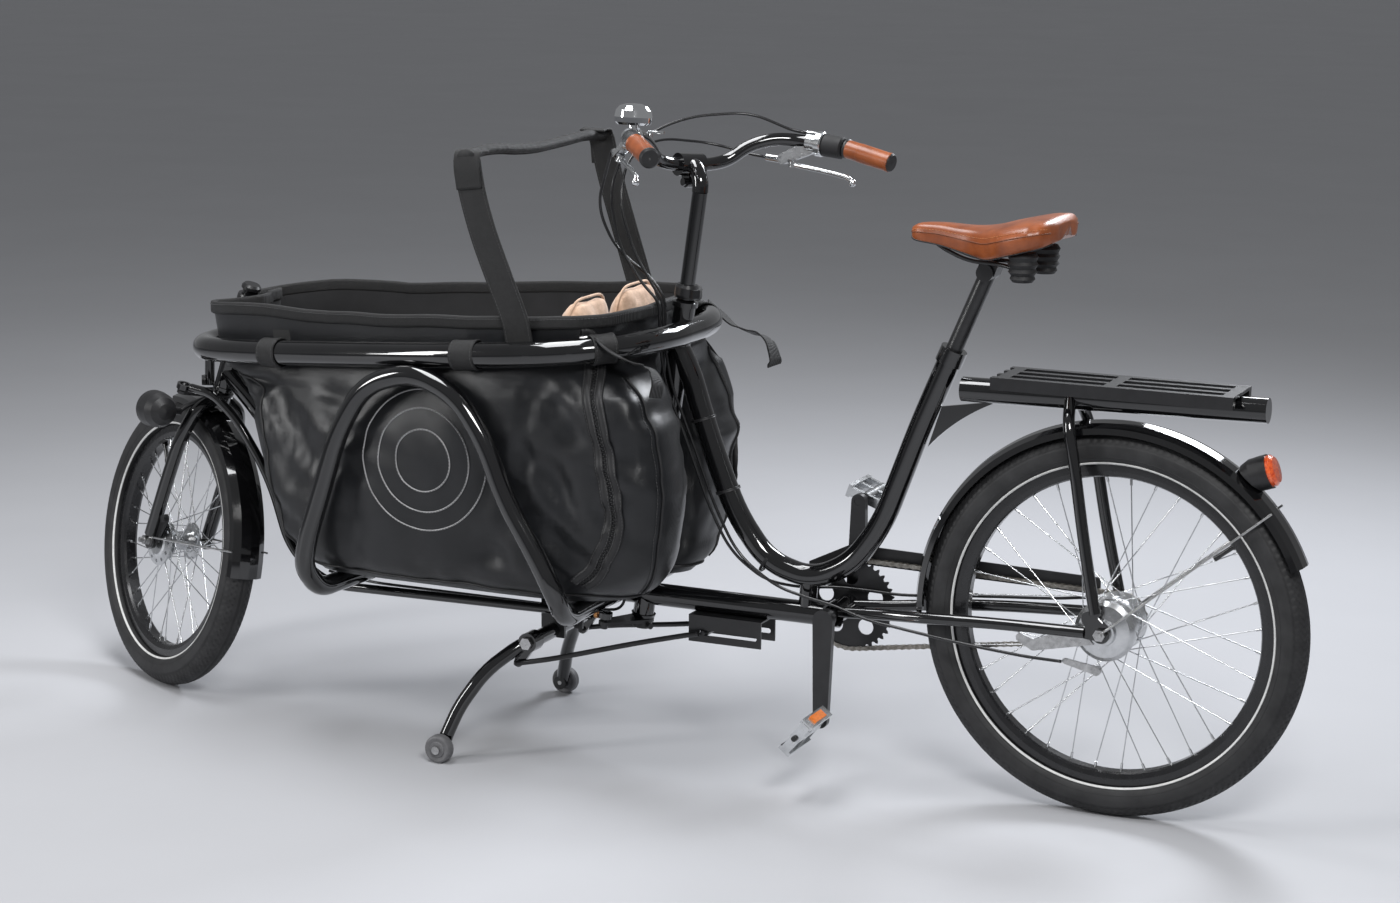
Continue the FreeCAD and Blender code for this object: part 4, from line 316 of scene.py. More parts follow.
def frames(pts, closed=False):
    n = len(pts)
    res, up = [], None
    for i in range(n):
        a = pts[i - 1] if (i or closed) else pts[i]
        b = pts[(i + 1) % n] if (i < n - 1 or closed) else pts[i]
        t = (b - a).normalized()
        if up is None:
            up = Vector((0, 0, 1)) if abs(t.z) < 0.9 else Vector((1, 0, 0))
        u = (up - t * up.dot(t)).normalized()
        up = u
        res.append((t, u, t.cross(u)))
    return res


def sweep(pts, prof, closed=False, cap=True, orient=None):
    """Verts and faces of a profile [(u, v)] along pts; orient gives the u direction."""
    V_, F_ = [], []
    fr = frames(pts, closed)
    m = len(prof)
    for i, p in enumerate(pts):
        t, u, w = fr[i]
        if orient is not None:
            o_ = orient[i] if isinstance(orient, list) else orient
            u = (o_ - t * o_.dot(t)).normalized()
            w = t.cross(u)
        for a, b in prof:
            V_.append(p + u * a + w * b)
    n = len(pts)
    for i in range(n if closed else n - 1):
        j = (i + 1) % n
        for k in range(m):
            l = (k + 1) % m
            F_.append((i * m + k, i * m + l, j * m + l, j * m + k))
    if cap and not closed:
        F_.append(tuple(range(m))[::-1])
        F_.append(tuple((n - 1) * m + k for k in range(m)))
    return V_, F_


def circ(r, n=10):
    return [(r * math.cos(2 * math.pi * i / n), r * math.sin(2 * math.pi * i / n)) for i in range(n)]


def flat(w, t):
    """Rounded webbing section, w wide and t thick, with a selvedge bead at each edge."""
    e = w / 2
    return [(-e, 0), (-e + t * 0.3, -t * 0.62), (-e + t * 1.1, -t * 0.5), (-e * 0.3, -t * 0.42), (e * 0.3, -t * 0.42), (e - t * 1.1, -t * 0.5), (e - t * 0.3, -t * 0.62), (e, 0),
            (e - t * 0.3, t * 0.62), (e - t * 1.1, t * 0.5), (e * 0.3, t * 0.42), (-e * 0.3, t * 0.42), (-e + t * 1.1, t * 0.5), (-e + t * 0.3, t * 0.62)]


class Parts:
    def __init__(self):
        self.v, self.f, self.m = [], [], []

    def add(self, vf, mi=0):
        k = len(self.v)
        self.v += vf[0]
        self.f += [tuple(i + k for i in f) for f in vf[1]]
        self.m += [mi] * len(vf[1])


def stitches(parts, pts, normal, mi=0, long=0.0035, gap=0.0022, r=0.0005, lift=0.0004):
    """Short raised threads along a path."""
    acc, nxt = 0.0, 0.0
    start = None
    for i in range(len(pts) - 1):
        a, b = pts[i], pts[i + 1]
        d = (b - a).length
        if d < 1e-7:
            continue
        t = (b - a) / d
        while nxt < acc + d:
            s = nxt - acc
            p = a + t * s
            nn = normal[i] if isinstance(normal, list) else normal
            q = p + t * long
            parts.add(sweep([p + nn * (lift - r), p + t * long * 0.25 + nn * (lift + r * 0.5), q - t * long * 0.25 + nn * (lift + r * 0.5), q + nn * (lift - r)], circ(r, 5)), mi)
            nxt += long + gap
        acc += d


# ------------------------------------------------------------------ tyres
def wheel_frame(node):
    co = np.array([v.co for v in nodes[node].data.vertices], float)
    key = np.unique(np.round(co, 5), axis=0)
    c = (key.min(0) + key.max(0)) / 2
    for _ in range(8):
        u, s, vt = np.linalg.svd(key - c, full_matrices=False)
        ax = vt[2]
        along = (key - c) @ ax
        c = c + ax * (along.max() + along.min()) / 2
        rad = (key - c) - np.outer((key - c) @ ax, ax)
        rr = np.linalg.norm(rad, axis=1)
        out = rad[rr > rr.max() * 0.985]
        c = c + out.mean(0) * 0.3
    rad = (key - c) - np.outer((key - c) @ ax, ax)
    if ax[1] < 0:
        ax = -ax
    return Vector(c), Vector(ax), float(np.linalg.norm(rad, axis=1).max())


def tyre(name, node, stripe_r, body):
    c, ax, rout = wheel_frame(node)
    sec = 0.0295
    rc = rout - sec
    bead = rc - 0.030
    e1 = ax.cross(Vector((0, 0, 1))).normalized()
    e2 = ax.cross(e1)
    blocks = int(round(2 * math.pi * rout / 0.0125))
    n = blocks * 4
    phis = []
    for d in [0, 3, 4.2, 11, 12.2, 18, 24, 25.2, 31, 37, 38.2, 44, 50, 51.2, 56, 62, 68, 70, 76, 82, 87, 90, 96, 102, 108, 114, 120, 126, 131]:
        phis.append(d)
    phis = [-p for p in reversed(phis[1:])] + phis
    m = len(phis)
    V_, F_, M_ = [], [], []
    for i in range(n):
        th = 2 * math.pi * i / n
        er = e1 * math.cos(th) + e2 * math.sin(th)
        for p in phis:
            a = math.radians(p)
            rr, yy = rc + sec * math.cos(a), sec * math.sin(a)
            ap = abs(p)
            drop = 0.0
            if ap < 2 or 3.6 < ap < 11.5 or 12 < ap < 24.6 or 25 < ap < 37.6 or 38 < ap < 50.6 or 51 < ap < 69:
                drop = 0.0
            else:
                drop = 0.0013 if ap < 55 else 0.0
            k = (i + (int(ap / 12.5) % 2) * 2) % 4
            if 12 < ap < 69 and k == 0:
                drop = 0.0015
            rr -= drop * math.cos(a)
            yy -= drop * math.sin(a)
            if ap > 69:
                if abs(ap - 73) < 3.2:
                    rr += 0.0005 * math.cos(a)
                    yy += 0.0005 * math.sin(a)
            if ap > 128:
                yy = math.copysign(0.0123, p)
                rr = bead + 0.008
            V_.append(c + er * rr + ax * yy)
    for i in range(n):
        j = (i + 1) % n
        for k in range(m - 1):
            F_.append((i * m + k, i * m + k + 1, j * m + k + 1, j * m + k))
            mid = math.radians((phis[k] + phis[k + 1]) / 2)
            M_.append(0)
    o = make(name, V_, F_, TYRE, smooth=True, mats=[TYRE, STRIPE], fmat=M_)
    mod = o.modifiers.new("wall", "SOLIDIFY")
    mod.thickness = 0.003
    mod.offset = 1.0
    # white reflex line: a thin raised band on each wall
    P_ = Parts()
    for s in (1, -1):
        y = math.sqrt(max(sec * sec - (stripe_r - rc) ** 2, 1e-8))
        nrm = math.atan2(y, stripe_r - rc)
        ring_ = []
        ori = []
        for i in range(240):
            th = 2 * math.pi * i / 240
            er = e1 * math.cos(th) + e2 * math.sin(th)
            ring_.append(c + er * stripe_r + ax * (y * s))
            ori.append(er * math.cos(nrm) + ax * (s * math.sin(nrm)))
        P_.add(sweep(ring_, [(0.0008, -0.0019), (0.0010, -0.0012), (0.0010, 0.0012), (0.0008, 0.0019), (-0.001, 0.0019), (-0.001, -0.0019)], closed=True, orient=ori))
        # moulded rib beside it
        for dr in (0.0105, -0.012):
            r2 = stripe_r + dr
            y2 = math.sqrt(max(sec * sec - (r2 - rc) ** 2, 1e-8))
            n2_ = math.atan2(y2, r2 - rc)
            rg, og = [], []
            for i in range(240):
                th = 2 * math.pi * i / 240
                er = e1 * math.cos(th) + e2 * math.sin(th)
                rg.append(c + er * r2 + ax * (y2 * s))
                og.append(er * math.cos(n2_) + ax * (s * math.sin(n2_)))
            P_.add(sweep(rg, [(0.0005, -0.0003), (0.0005, 0.0003), (-0.001, 0.0008), (-0.001, -0.0008)], closed=True, orient=og), 1)
    b = make(name + "_line", P_.v, P_.f, STRIPE, mats=[STRIPE, TYRE], fmat=P_.m)
    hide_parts(node)
    for q in (o, b):
        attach(q, body)
    return c, ax, rout


tyre("rear_tread", "rear_tyre", 0.264, "rear_wheel")
tyre("front_tread", "front_tyre", 0.216, "front_wheel")

# ------------------------------------------------------------------ cargo bag
def rail_z(x):
    return 727.0 - 0.090 * (x - 757.0)


LEV = [
    (lambda x: 293.0, [(1370, 0), (1370, 70), (1366, 148), (1330, 174), (1240, 184), (1110, 186), (980, 188), (880, 180), (820, 152), (790, 120), (786, 96), (806, 66), (856, 44), (872, 0)], 0.0),
    (lambda x: 330.0, [(1384, 0), (1384, 82), (1392, 176), (1350, 204), (1270, 218), (1130, 225), (980, 228), (860, 224), (775, 192), (742, 158), (735, 120), (760, 76), (838, 46), (858, 0)], 0.35),
    (lambda x: 380.0, [(1402, 0), (1402, 82), (1436, 184), (1380, 212), (1290, 226), (1135, 234), (980, 236), (860, 234), (752, 220), (716, 184), (708, 128), (736, 76), (830, 48), (850, 0)], 0.45),
    (lambda x: 500.0, [(1464, 0), (1464, 84), (1474, 172), (1400, 204), (1290, 226), (1135, 240), (980, 237), (860, 236), (742, 234), (700, 194), (693, 128), (722, 76), (816, 48), (834, 0)], 0.40),
    (lambda x: 560.0, [(1498, 0), (1498, 84), (1494, 164), (1410, 190), (1290, 218), (1135, 238), (980, 237), (860, 236), (742, 234), (704, 194), (699, 128), (724, 76), (808, 48), (826, 0)], 0.45),
    (lambda x: 640.0 - 0.06 * (x - 860), [(1572, 0), (1568, 60), (1515, 144), (1420, 170), (1300, 200), (1140, 226), (980, 234), (860, 230), (764, 226), (744, 188), (740, 128), (752, 76), (798, 48), (816, 0)], 0.70),
    (lambda x: rail_z(x) - 34.0, [(1570, 0), (1574, 38), (1606, 62), (1545, 130), (1300, 192), (1140, 217), (980, 227), (872, 212), (822, 194), (792, 170), (781, 130), (776, 80), (780, 46), (792, 0)], 0.0),
    (lambda x: rail_z(x) - 10.0, [(1562, 0), (1568, 36), (1620, 60), (1556, 121), (1300, 183), (1140, 208), (980, 218), (872, 204), (838, 189), (813, 166), (802, 128), (797, 80), (793, 46), (792, 0)], 0.0),
    (lambda x: 772.0 - 0.060 * (x - 860), [(1560, 0), (1566, 36), (1634, 60), (1562, 130), (1302, 191), (1140, 216), (980, 226), (868, 213), (832, 196), (803, 171), (790, 130), (785, 80), (788, 46), (790, 0)], 0.0)]


def outline(l):
    half = l[1]
    return half + [(a + l[2] * max(0.0, 800 - a), -b) for a, b in reversed(half[1:-1])]


NS = 10
level_rows = []
for l in LEV:
    ring0 = [Vector((a, b, 0.0)) for a, b in outline(l)]
    ring1 = cr(ring0, NS, closed=True)
    level_rows.append([Vector((p.x, p.y, l[0](p.x))) for p in ring1])
ncol = len(level_rows[0])
cols = []
span = [5, 6, 12, 8, 10, 8, 4, 6]
rows = []
for i in range(len(level_rows) - 1):
    nsp = span[i]
    for k in range(nsp):
        t = k / nsp
        row = []
        for j in range(ncol):
            b, c = level_rows[i][j], level_rows[i + 1][j]
            a = level_rows[i - 1][j] if i else b * 2 - c
            d = level_rows[i + 2][j] if i + 2 < len(level_rows) else c * 2 - b
            if i >= 5:
                p = b.lerp(c, t)
            else:
                p = 0.5 * ((2 * b) + (c - a) * t + (2 * a - 5 * b + 4 * c - d) * t * t + (3 * b - a - 3 * c + d) * t ** 3)
            row.append(p)
        rows.append(row)
rows.append([p.copy() for p in level_rows[-1]])
nrow = len(rows)
rail_row = sum(span[:6])


def fold(p):
    """Soft folds of the coated cloth, in millimetres, inwards negative."""
    def ridge(q):
        return 1.0 - abs(noise.noise(q)) * 2.0
    x, y, z = p.x, p.y, p.z
    s = 1.0 if y > 0 else -1.0
    wx = noise.noise(Vector((x / 160, z / 160, 3.1 * s))) * 60
    a1 = ((x + wx) * 0.86 + z * 0.5) / 190.0
    b1 = (-(x + wx) * 0.5 + z * 0.86) / 62.0
    f1 = ridge(Vector((a1, b1, 5.0 * s)))
    a2 = ((x - wx) * 0.25 - z * 0.97) / 240.0
    b2 = ((x - wx) * 0.97 + z * 0.25) / 70.0
    f2 = ridge(Vector((a2, b2, 9.0 * s)))
    f3 = noise.noise(Vector((x / 34, y / 50, z / 42)))
    return (f1 - 0.60) * 11.0 + (f2 - 0.60) * 9.5 + f3 * 2.4 + 2.5 * noise.noise(Vector((x / 15, y / 40, z / 22)))


normals = []
for i in range(nrow):
    rn = []
    for j in range(ncol):
        du = rows[i][(j + 1) % ncol] - rows[i][j - 1]
        dv = rows[min(i + 1, nrow - 1)][j] - rows[max(i - 1, 0)][j]
        nn = du.cross(dv)
        rn.append(nn.normalized() if nn.length > 1e-9 else Vector((0, 0, 1)))
    normals.append(rn)
mid_n = normals[25][int(5.5 * NS)]
if mid_n.y < 0:
    normals = [[-n_ for n_ in r] for r in normals]
for i in range(nrow):
    low = min(1.0, i / 7.0)
    up = min(1.0, max(0.0, (rail_row - i) / 9.0))
    w = low * up
    for j in range(ncol):
        p = rows[i][j]
        nn = normals[i][j]
        rr_ = math.hypot(p.x - 1117, p.z - 518)
        f = fold(p) * w * (0.28 + 0.72 * min(1.0, max(0.0, (rr_ - 105) / 70.0)))
        if i > rail_row - 4:
            f += 1.3 * noise.noise(Vector((p.x / 55, p.y / 55, 1.7))) * min(1.0, (i - rail_row + 4) / 8.0)
        f = max(-16.0, min(f, 2.2))
        # belly of the panel between its hems
        q = p + nn * f
        if i > rail_row:
            top = (i - rail_row) / max(1, nrow - 1 - rail_row)
            q.z += top * (3.0 * noise.noise(Vector((p.x / 90, p.y / 90, 8.0))) - 1.0)
            if p.x > 1380:
                q.z += top * 10.0 * max(0.0, math.sin((p.x - 1380) / 250.0 * math.pi)) * (0.6 if p.y > 0 else 1.0)
        rows[i][j] = q
verts = [D(*p) for r in rows for p in r]
faces, fm = [], []
for i in range(nrow - 1):
    for j in range(ncol):
        k = (j + 1) % ncol
        faces.append((i * ncol + j, i * ncol + k, (i + 1) * ncol + k, (i + 1) * ncol + j))
        fm.append(0)
# bottom panel in rings towards the middle
base = len(verts)
cen = Vector((1080, 0, 296))
prev = list(range(ncol))
for k in range(1, 9):
    t = k / 9.0
    cur = []
    for j in range(ncol):
        p = rows[0][j].lerp(Vector((max(900, min(1330, rows[0][j].x)), 0, 293)), t)
        p.z += 1.2 * noise.noise(Vector((p.x / 60, p.y / 60, 0.3)))
        cur.append(len(verts))
        verts.append(D(*p))
    for j in range(ncol):
        l_ = (j + 1) % ncol
        faces.append((prev[l_], prev[j], cur[j], cur[l_]))
        fm.append(0)
    prev = cur
bag = make("bag_shell", verts, faces, BAG, mats=[BAG, LINING], fmat=fm)
bm = bmesh.new()
bm.from_mesh(bag.data)
bmesh.ops.remove_doubles(bm, verts=bm.verts, dist=0.0002)
bmesh.ops.recalc_face_normals(bm, faces=bm.faces)
out_test = sum(1 for f in bm.faces if abs(f.normal.y) > 0.6 and f.normal.y * (f.calc_center_median().y - SH.y) > 0)
inn_test = sum(1 for f in bm.faces if abs(f.normal.y) > 0.6 and f.normal.y * (f.calc_center_median().y - SH.y) < 0)
if inn_test > out_test:
    bmesh.ops.reverse_faces(bm, faces=bm.faces)
bm.to_mesh(bag.data)
bm.free()
bvh = BVHTree.FromObject(bag, bpy.context.evaluated_depsgraph_get())
mod = bag.modifiers.new("thickness", "SOLIDIFY")
mod.thickness = 0.0026
mod.offset = -1.0
mod.material_offset = 1
mod.material_offset_rim = 0
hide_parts("cargo_bag")
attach(bag, "frame")


def on_bag(x, z, side=1, lift=0.0):
    """Design x, z (mm) to the cloth's outer face on one side."""
    o_ = D(x, 0, z)
    o_.y = SH.y + 0.6 * side
    hit, n_, _, _ = bvh.ray_cast(o_, Vector((0, -side, 0)))
    if hit is None:
        return None, None
    if n_.y * side < 0:
        n_ = -n_
    return hit + n_ * lift, n_


trim = Parts()
# three sewn rings on each side
for side in (1, -1):
    for rr in (52, 87, 118):
        ps, ns = [], []
        for i in range(160):
            a = 2 * math.pi * i / 160
            h, n_ = on_bag(1117 + rr * math.cos(a), 518 + rr * math.sin(a), side, 0.0006)
            if h is not None:
                ps.append(h)
                ns.append(n_)
        if len(ps) == 160:
            trim.add(sweep(ps, circ(0.0014, 8), closed=True), 0)
            stitches(trim, ps, ns, 1, lift=0.0016)
# zipper on each side, and the piped edge of each rear lobe
ZP = [(844, 738), (835, 734), (822, 690), (808, 647), (792, 590), (781, 535), (771, 490), (768, 454), (774, 415), (790, 385), (812, 352), (838, 334)]
for side in (1, -1):
    path = cr([Vector((x, 0, z)) for x, z in ZP], 14)
    ps, ns = [], []
    for p in path:
        h, n_ = on_bag(p.x, p.z, side, 0.0)
        if h is not None:
            ps.append(h)
            ns.append(n_)
    if len(ps) > 20:
        # smooth so the tape doesn't jump on folds
        for _ in range(3):
            ps = [ps[0]] + [(ps[i - 1] + ps[i] * 2 + ps[i + 1]) / 4 for i in range(1, len(ps) - 1)] + [ps[-1]]
            ns = [ns[0]] + [(ns[i - 1] + ns[i] + ns[i + 1]).normalized() for i in range(1, len(ns) - 1)] + [ns[-1]]
        acr = []
        for i in range(len(ps)):
            t = (ps[min(i + 1, len(ps) - 1)] - ps[max(i - 1, 0)]).normalized()
            acr.append(ns[i].cross(t).normalized())
        for off in (-0.0105, 0.0105):
            q = [ps[i] + acr[i] * off + ns[i] * 0.0012 for i in range(len(ps))]
            trim.add(sweep(q, [(0.0013, -0.0075), (0.0016, 0), (0.0013, 0.0075), (-0.0012, 0.0075), (-0.0012, -0.0075)], orient=ns), 2)
            for e_ in (-0.0055, 0.0055):
                q2 = [ps[i] + acr[i] * (off + e_) + ns[i] * 0.0026 for i in range(len(ps))]
                stitches(trim, q2, ns, 1, lift=0.0002)
        # teeth
        acc, step = 0.0, 0.0034
        nxt, tooth = 0.0, 0
        for i in range(len(ps) - 1):
            d = (ps[i + 1] - ps[i]).length
            while nxt < acc + d:
                t = (ps[i + 1] - ps[i]).normalized()
                c = ps[i] + t * (nxt - acc) + ns[i] * 0.0022
                off = acr[i] * (0.0011 if tooth % 2 else -0.0011)
                trim.add(sweep([c + off - acr[i] * 0.0019, c + off - acr[i] * 0.0009, c + off + acr[i] * 0.0009, c + off + acr[i] * 0.0019], [(0.0006, 0.0008), (-0.0006, 0.0008), (-0.0006, -0.0008), (0.0006, -0.0008)], orient=ns[i]), 3)
                nxt += step
                tooth += 1
            acc += d
        # slider and pull
        c = ps[6] + ns[6] * 0.003
        t = (ps[7] - ps[6]).normalized()
        trim.add(sweep([c - t * 0.008, c - t * 0.006, c + t * 0.004, c + t * 0.007], [(0.0024, -0.004), (0.003, 0), (0.0024, 0.004), (-0.001, 0.005), (-0.001, -0.005)], orient=ns[6]), 4)
        pl = [c + ns[6] * 0.003, c + t * 0.008 + ns[6] * 0.006, c + t * 0.022 + ns[6] * 0.005, c + t * 0.034 + ns[6] * 0.004]
        trim.add(sweep(pl, [(0.0007, -0.0026), (0.001, 0), (0.0007, 0.0026), (-0.0007, 0.0026), (-0.0007, -0.0026)], orient=ns[6]), 4)
def column(j, r0, r1, out):
    ps = []
    for i in range(r0, r1):
        ps.append(D(*(rows[i][j % ncol] + normals[i][j % ncol] * out)))
    return ps
# piping along the rear edge of each lobe and down the front corners
for j in (9 * NS, (26 - 9) * NS):
    trim.add(sweep(column(j, 3, rail_row - 2, 1.2), circ(0.0026, 8)), 2)
    for k in (1,):
        ps = column(j - 2 if j < 13 * NS else j + 2, 3, rail_row - 2, 0.4)
        stitches(trim, ps, [normals[i][j] for i in range(3, rail_row - 2)], 1)
for j in (2 * NS + 4, (26 - 2) * NS - 4):
    trim.add(sweep(column(j, 3, rail_row - 2, 0.8), circ(0.002, 8)), 2)
# piping round the bottom seam
ps = [D(*(rows[2][j] + normals[2][j] * 0.8)) for j in range(0, ncol, 2)]
trim.add(sweep(ps, circ(0.0024, 8), closed=True), 2)
# bound hem round the opening with two rows of stitching
top = rows[-1]
hem = [D(p.x, p.y, p.z - 7) for p in top]
hn = [normals[-1][j] for j in range(ncol)]
hs_ = [Vector((n_.x, n_.y, 0)).normalized() for n_ in hn]
trim.add(sweep(hem, [(0.0034, -0.010), (0.0042, -0.006), (0.0042, 0.006), (0.0034, 0.0095), (0.0, 0.0115), (-0.0046, 0.0095), (-0.0052, 0.006), (-0.0052, -0.006), (-0.0044, -0.010)], closed=True, orient=hs_), 5)
for dz in (-14.5, -1.5):
    pp = [D(p.x, p.y, p.z + dz) + hs_[j] * (0.0043 if dz > -5 else 0.0009) for j, p in enumerate(top)]
    stitches(trim, pp[:13 * NS], hs_[:13 * NS], 1)
    stitches(trim, pp[13 * NS:], hs_[13 * NS:], 1)
tr = make("bag_trim", trim.v, trim.f, PIPING, mats=[PIPING, THREAD, PIPEBLK, PLASTIC, STEEL, WEB], fmat=trim.m)
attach(tr, "frame")

# ------------------------------------------------------------------ cushions
def cushion(name, c, sx, sy, sz, deg, crown, seam_axis, seed, taper=0.0):
    """Crowned closed pillow with pulled-in sides and a piped seam."""
    bm = bmesh.new()
    bmesh.ops.create_cube(bm, size=2.0)
    bmesh.ops.subdivide_edges(bm, edges=bm.edges, cuts=15, use_grid_fill=True)
    R = Matrix.Rotation(math.radians(deg), 3, "Y")
    cc = D(*c)
    hs = (sx / 2000.0, sy / 2000.0, sz / 2000.0)
    thin = seam_axis
    for v in bm.verts:
        q = list(v.co)
        oth = [k for k in range(3) if k != thin]
        a, b = q[oth[0]], q[oth[1]]
        # superellipse outline with corners that stay out and sides that pull in
        ra = (abs(a) ** 5 + abs(b) ** 5) ** 0.2
        rm = max(abs(a), abs(b), 1e-6)
        k = rm / ra if ra > 1e-6 else 1.0
        a2, b2 = a * k, b * k
        edge = rm
        pull = 1.0 - 0.045 * (edge ** 2) * (1 - min(1.0, (min(abs(a), abs(b)) / max(rm, 1e-6)) ** 2))
        th = math.sqrt(max(0.0, 1.0 - edge ** 3.2))
        q[oth[0]], q[oth[1]] = a2 * pull, b2 * pull
        dome = (0.30 + 0.70 * th)
        q[thin] = math.copysign(min(1.0, abs(q[thin])), q[thin]) * dome
        if edge > 0.999:
            q[thin] *= 0.9
        p = Vector((q[0] * hs[0], q[1] * hs[1], q[2] * hs[2]))
        nz = noise.noise(Vector((p.x * 16 + seed, p.y * 16, p.z * 16))) * 0.004 + noise.noise(Vector((p.x * 45, p.y * 45 + seed, p.z * 45))) * 0.0015
        p[thin] += nz * (1 if q[thin] > 0 else -1)
        v.co = cc + R @ p
    bmesh.ops.recalc_face_normals(bm, faces=bm.faces)
    me = bpy.data.meshes.new(name)
    bm.to_mesh(me)
    bm.free()
    o = bpy.data.objects.new(name, me)
    bpy.context.scene.collection.objects.link(o)
    me.materials.append(CLOTH)
    start = np.array([v.co for v in me.vertices])
    rmod = o.modifiers.new("remesh", "REMESH")
    rmod.mode = "VOXEL"
    rmod.voxel_size = 0.0065
    dg = bpy.context.evaluated_depsgraph_get()
    me2 = bpy.data.meshes.new_from_object(o.evaluated_get(dg))
    o.modifiers.clear()
    o.data = me2
    cm = o.modifiers.new("cloth", "CLOTH")
    cm.settings.quality = 4
    cm.settings.use_pressure = True
    cm.settings.uniform_pressure_force = 4.0
    cm.settings.effector_weights.gravity = 0.0
    cm.settings.tension_stiffness = 18
    cm.settings.bending_stiffness = 0.4
    cm.point_cache.frame_start = 1
    cm.point_cache.frame_end = 14
    co0 = np.array([v.co for v in me2.vertices])
    for f in range(1, 13):
        bpy.context.scene.frame_set(f)
    dg = bpy.context.evaluated_depsgraph_get()
    ev = o.evaluated_get(dg).to_mesh()
    co1 = np.array([v.co for v in ev.vertices])
    o.evaluated_get(dg).to_mesh_clear()
    o.modifiers.clear()
    if co1.shape == co0.shape:
        d = co1 - co0
        ln = np.linalg.norm(d, axis=1, keepdims=True)
        d *= np.minimum(1.0, 0.009 / np.maximum(ln, 1e-9))
        me2.vertices.foreach_set("co", (co0 + d).astype(np.float32).ravel())
    bpy.context.scene.frame_set(1)
    o.data.materials.clear()
    o.data.materials.append(CLOTH)
    sm = o.modifiers.new("soft", "SUBSURF")
    sm.levels = sm.render_levels = 1
    o.data.polygons.foreach_set("use_smooth", [True] * len(o.data.polygons))
    # piped seam round the edge
    oth = [k for k in range(3) if k != thin]
    ps = []
    for i in range(96):
        t = 2 * math.pi * i / 96
        ca, sa = math.cos(t), math.sin(t)
        k = 1.0 / ((abs(ca) ** 5 + abs(sa) ** 5) ** 0.2)
        q = Vector((0, 0, 0))
        q[oth[0]] = ca * k * hs[oth[0]] * 0.985
        q[oth[1]] = sa * k * hs[oth[1]] * 0.985
        ps.append(cc + R @ q)
    s_ = make(name + "_seam", *sweep(ps, circ(0.0024, 8), closed=True), CLOTH)
    for q in (o, s_):
        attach(q, "frame")
    return o


c1 = cushion("seat_cushion_soft", (972, 0, 372), 172, 322, 58, 0, 0.2, 2, 1.0)
c2 = cushion("back_cushion_near", (912, 92, 608), 52, 148, 372, -9, 0.2, 0, 2.0)
c3 = cushion("back_cushion_far", (908, -92, 606), 52, 148, 372, -7, 0.2, 0, 3.0)
for c_ in (c1, c2, c3):
    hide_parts("cushions")

# ------------------------------------------------------------------ straps
def ribbon(name, pts, w, t, orient, held="stretched", rests=("top_rail",), stitch=True, declare=True):
    P_ = Parts()
    path = cr([D(*p) for p in pts], 12)
    P_.add(sweep(path, flat(w, t), orient=orient), 0)
    if stitch:
        fr = []
        for i in range(len(path)):
            a = path[max(i - 1, 0)]
            b = path[min(i + 1, len(path) - 1)]
            tt = (b - a).normalized()
            o_ = orient[i] if isinstance(orient, list) else orient
            u = (o_ - tt * o_.dot(tt)).normalized()
            fr.append((u, tt.cross(u)))
        for e_ in (-1, 1):
            for s_ in (-1, 1):
                q = [path[i] + fr[i][0] * (e_ * (w / 2 - 0.004)) + fr[i][1] * (s_ * t * 0.5) for i in range(len(path))]
                stitches(P_, q, [fr[i][1] * s_ for i in range(len(path))], 1, r=0.0004)
    o = make(name, P_.v, P_.f, WEB, mats=[WEB, THREAD], fmat=P_.m)
    L_ = sum((path[i + 1] - path[i]).length for i in range(len(path) - 1))
    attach(o, "frame")
    return o, L_


EX = Vector((1, 0, 0))
s1, l1 = ribbon("strap_near", [(937, 229, 700), (941, 233, 740), (947, 236, 770), (972, 238.5, 832), (1000, 238, 900), (1020, 238, 965), (1031, 237, 1022)], 0.050, 0.0032, EX)
s2, l2 = ribbon("strap_far", [(936, -229, 700), (940, -233, 738), (948, -236, 766), (970, -239, 830), (992, -238, 900), (1010, -238, 960), (1024, -237, 1018)], 0.050, 0.0032, EX)
# padded sleeve of the grip: cloth wrapped round the webbing, with creases
P_ = Parts()
path = cr([D(1031, 240, 1026), D(1034, 180, 1030), D(1036, 120, 1028), D(1036, 60, 1022), D(1034, 0, 1019), D(1033, -60, 1020), D(1032, -120, 1022), D(1028, -180, 1025), D(1024, -240, 1021)], 16)
sv, sf = sweep(path, circ(0.0105, 20))
nprof = 20
for i in range(len(path)):
    t = i / (len(path) - 1)
    endk = 1.0 + 0.35 * math.exp(-((t) / 0.05) ** 2) + 0.35 * math.exp(-((1 - t) / 0.05) ** 2)
    for k in range(nprof):
        v = sv[i * nprof + k]
        d = v - path[i]
        w = 1.0 + 0.10 * noise.noise(Vector((i * 0.35, k * 0.5, 2.0))) - 0.06 * math.cos(2 * math.pi * k / nprof * 2)
        sv[i * nprof + k] = path[i] + Vector((d.x * 1.0, d.y, d.z * 0.82)) * w * endk
P_.add((sv, sf), 0)
seamp = [p + Vector((0, 0, -0.0088)) for p in path]
P_.add(sweep(seamp, circ(0.0014, 6)), 0)
stitches(P_, [p + Vector((0.004, 0, -0.0086)) for p in path], Vector((0, 0, -1)), 1)
# folded corners where the straps turn over the grip
for s in (1, -1):
    c = D(1029 if s > 0 else 1025, 238.5 * s, 1023)
    P_.add(sweep(cr([c + Vector((-0.004, 0.0015 * s, -0.050)), c + Vector((0, 0.003 * s, -0.016)), c + Vector((0.001, -0.002 * s, 0.006)), c + Vector((0.002, -0.016 * s, 0.010)), c + Vector((0.002, -0.034 * s, 0.008))], 8), flat(0.047, 0.0030), orient=EX), 0)
g = make("strap_grip", P_.v, P_.f, WEB, mats=[WEB, THREAD], fmat=P_.m)
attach(g, "frame")

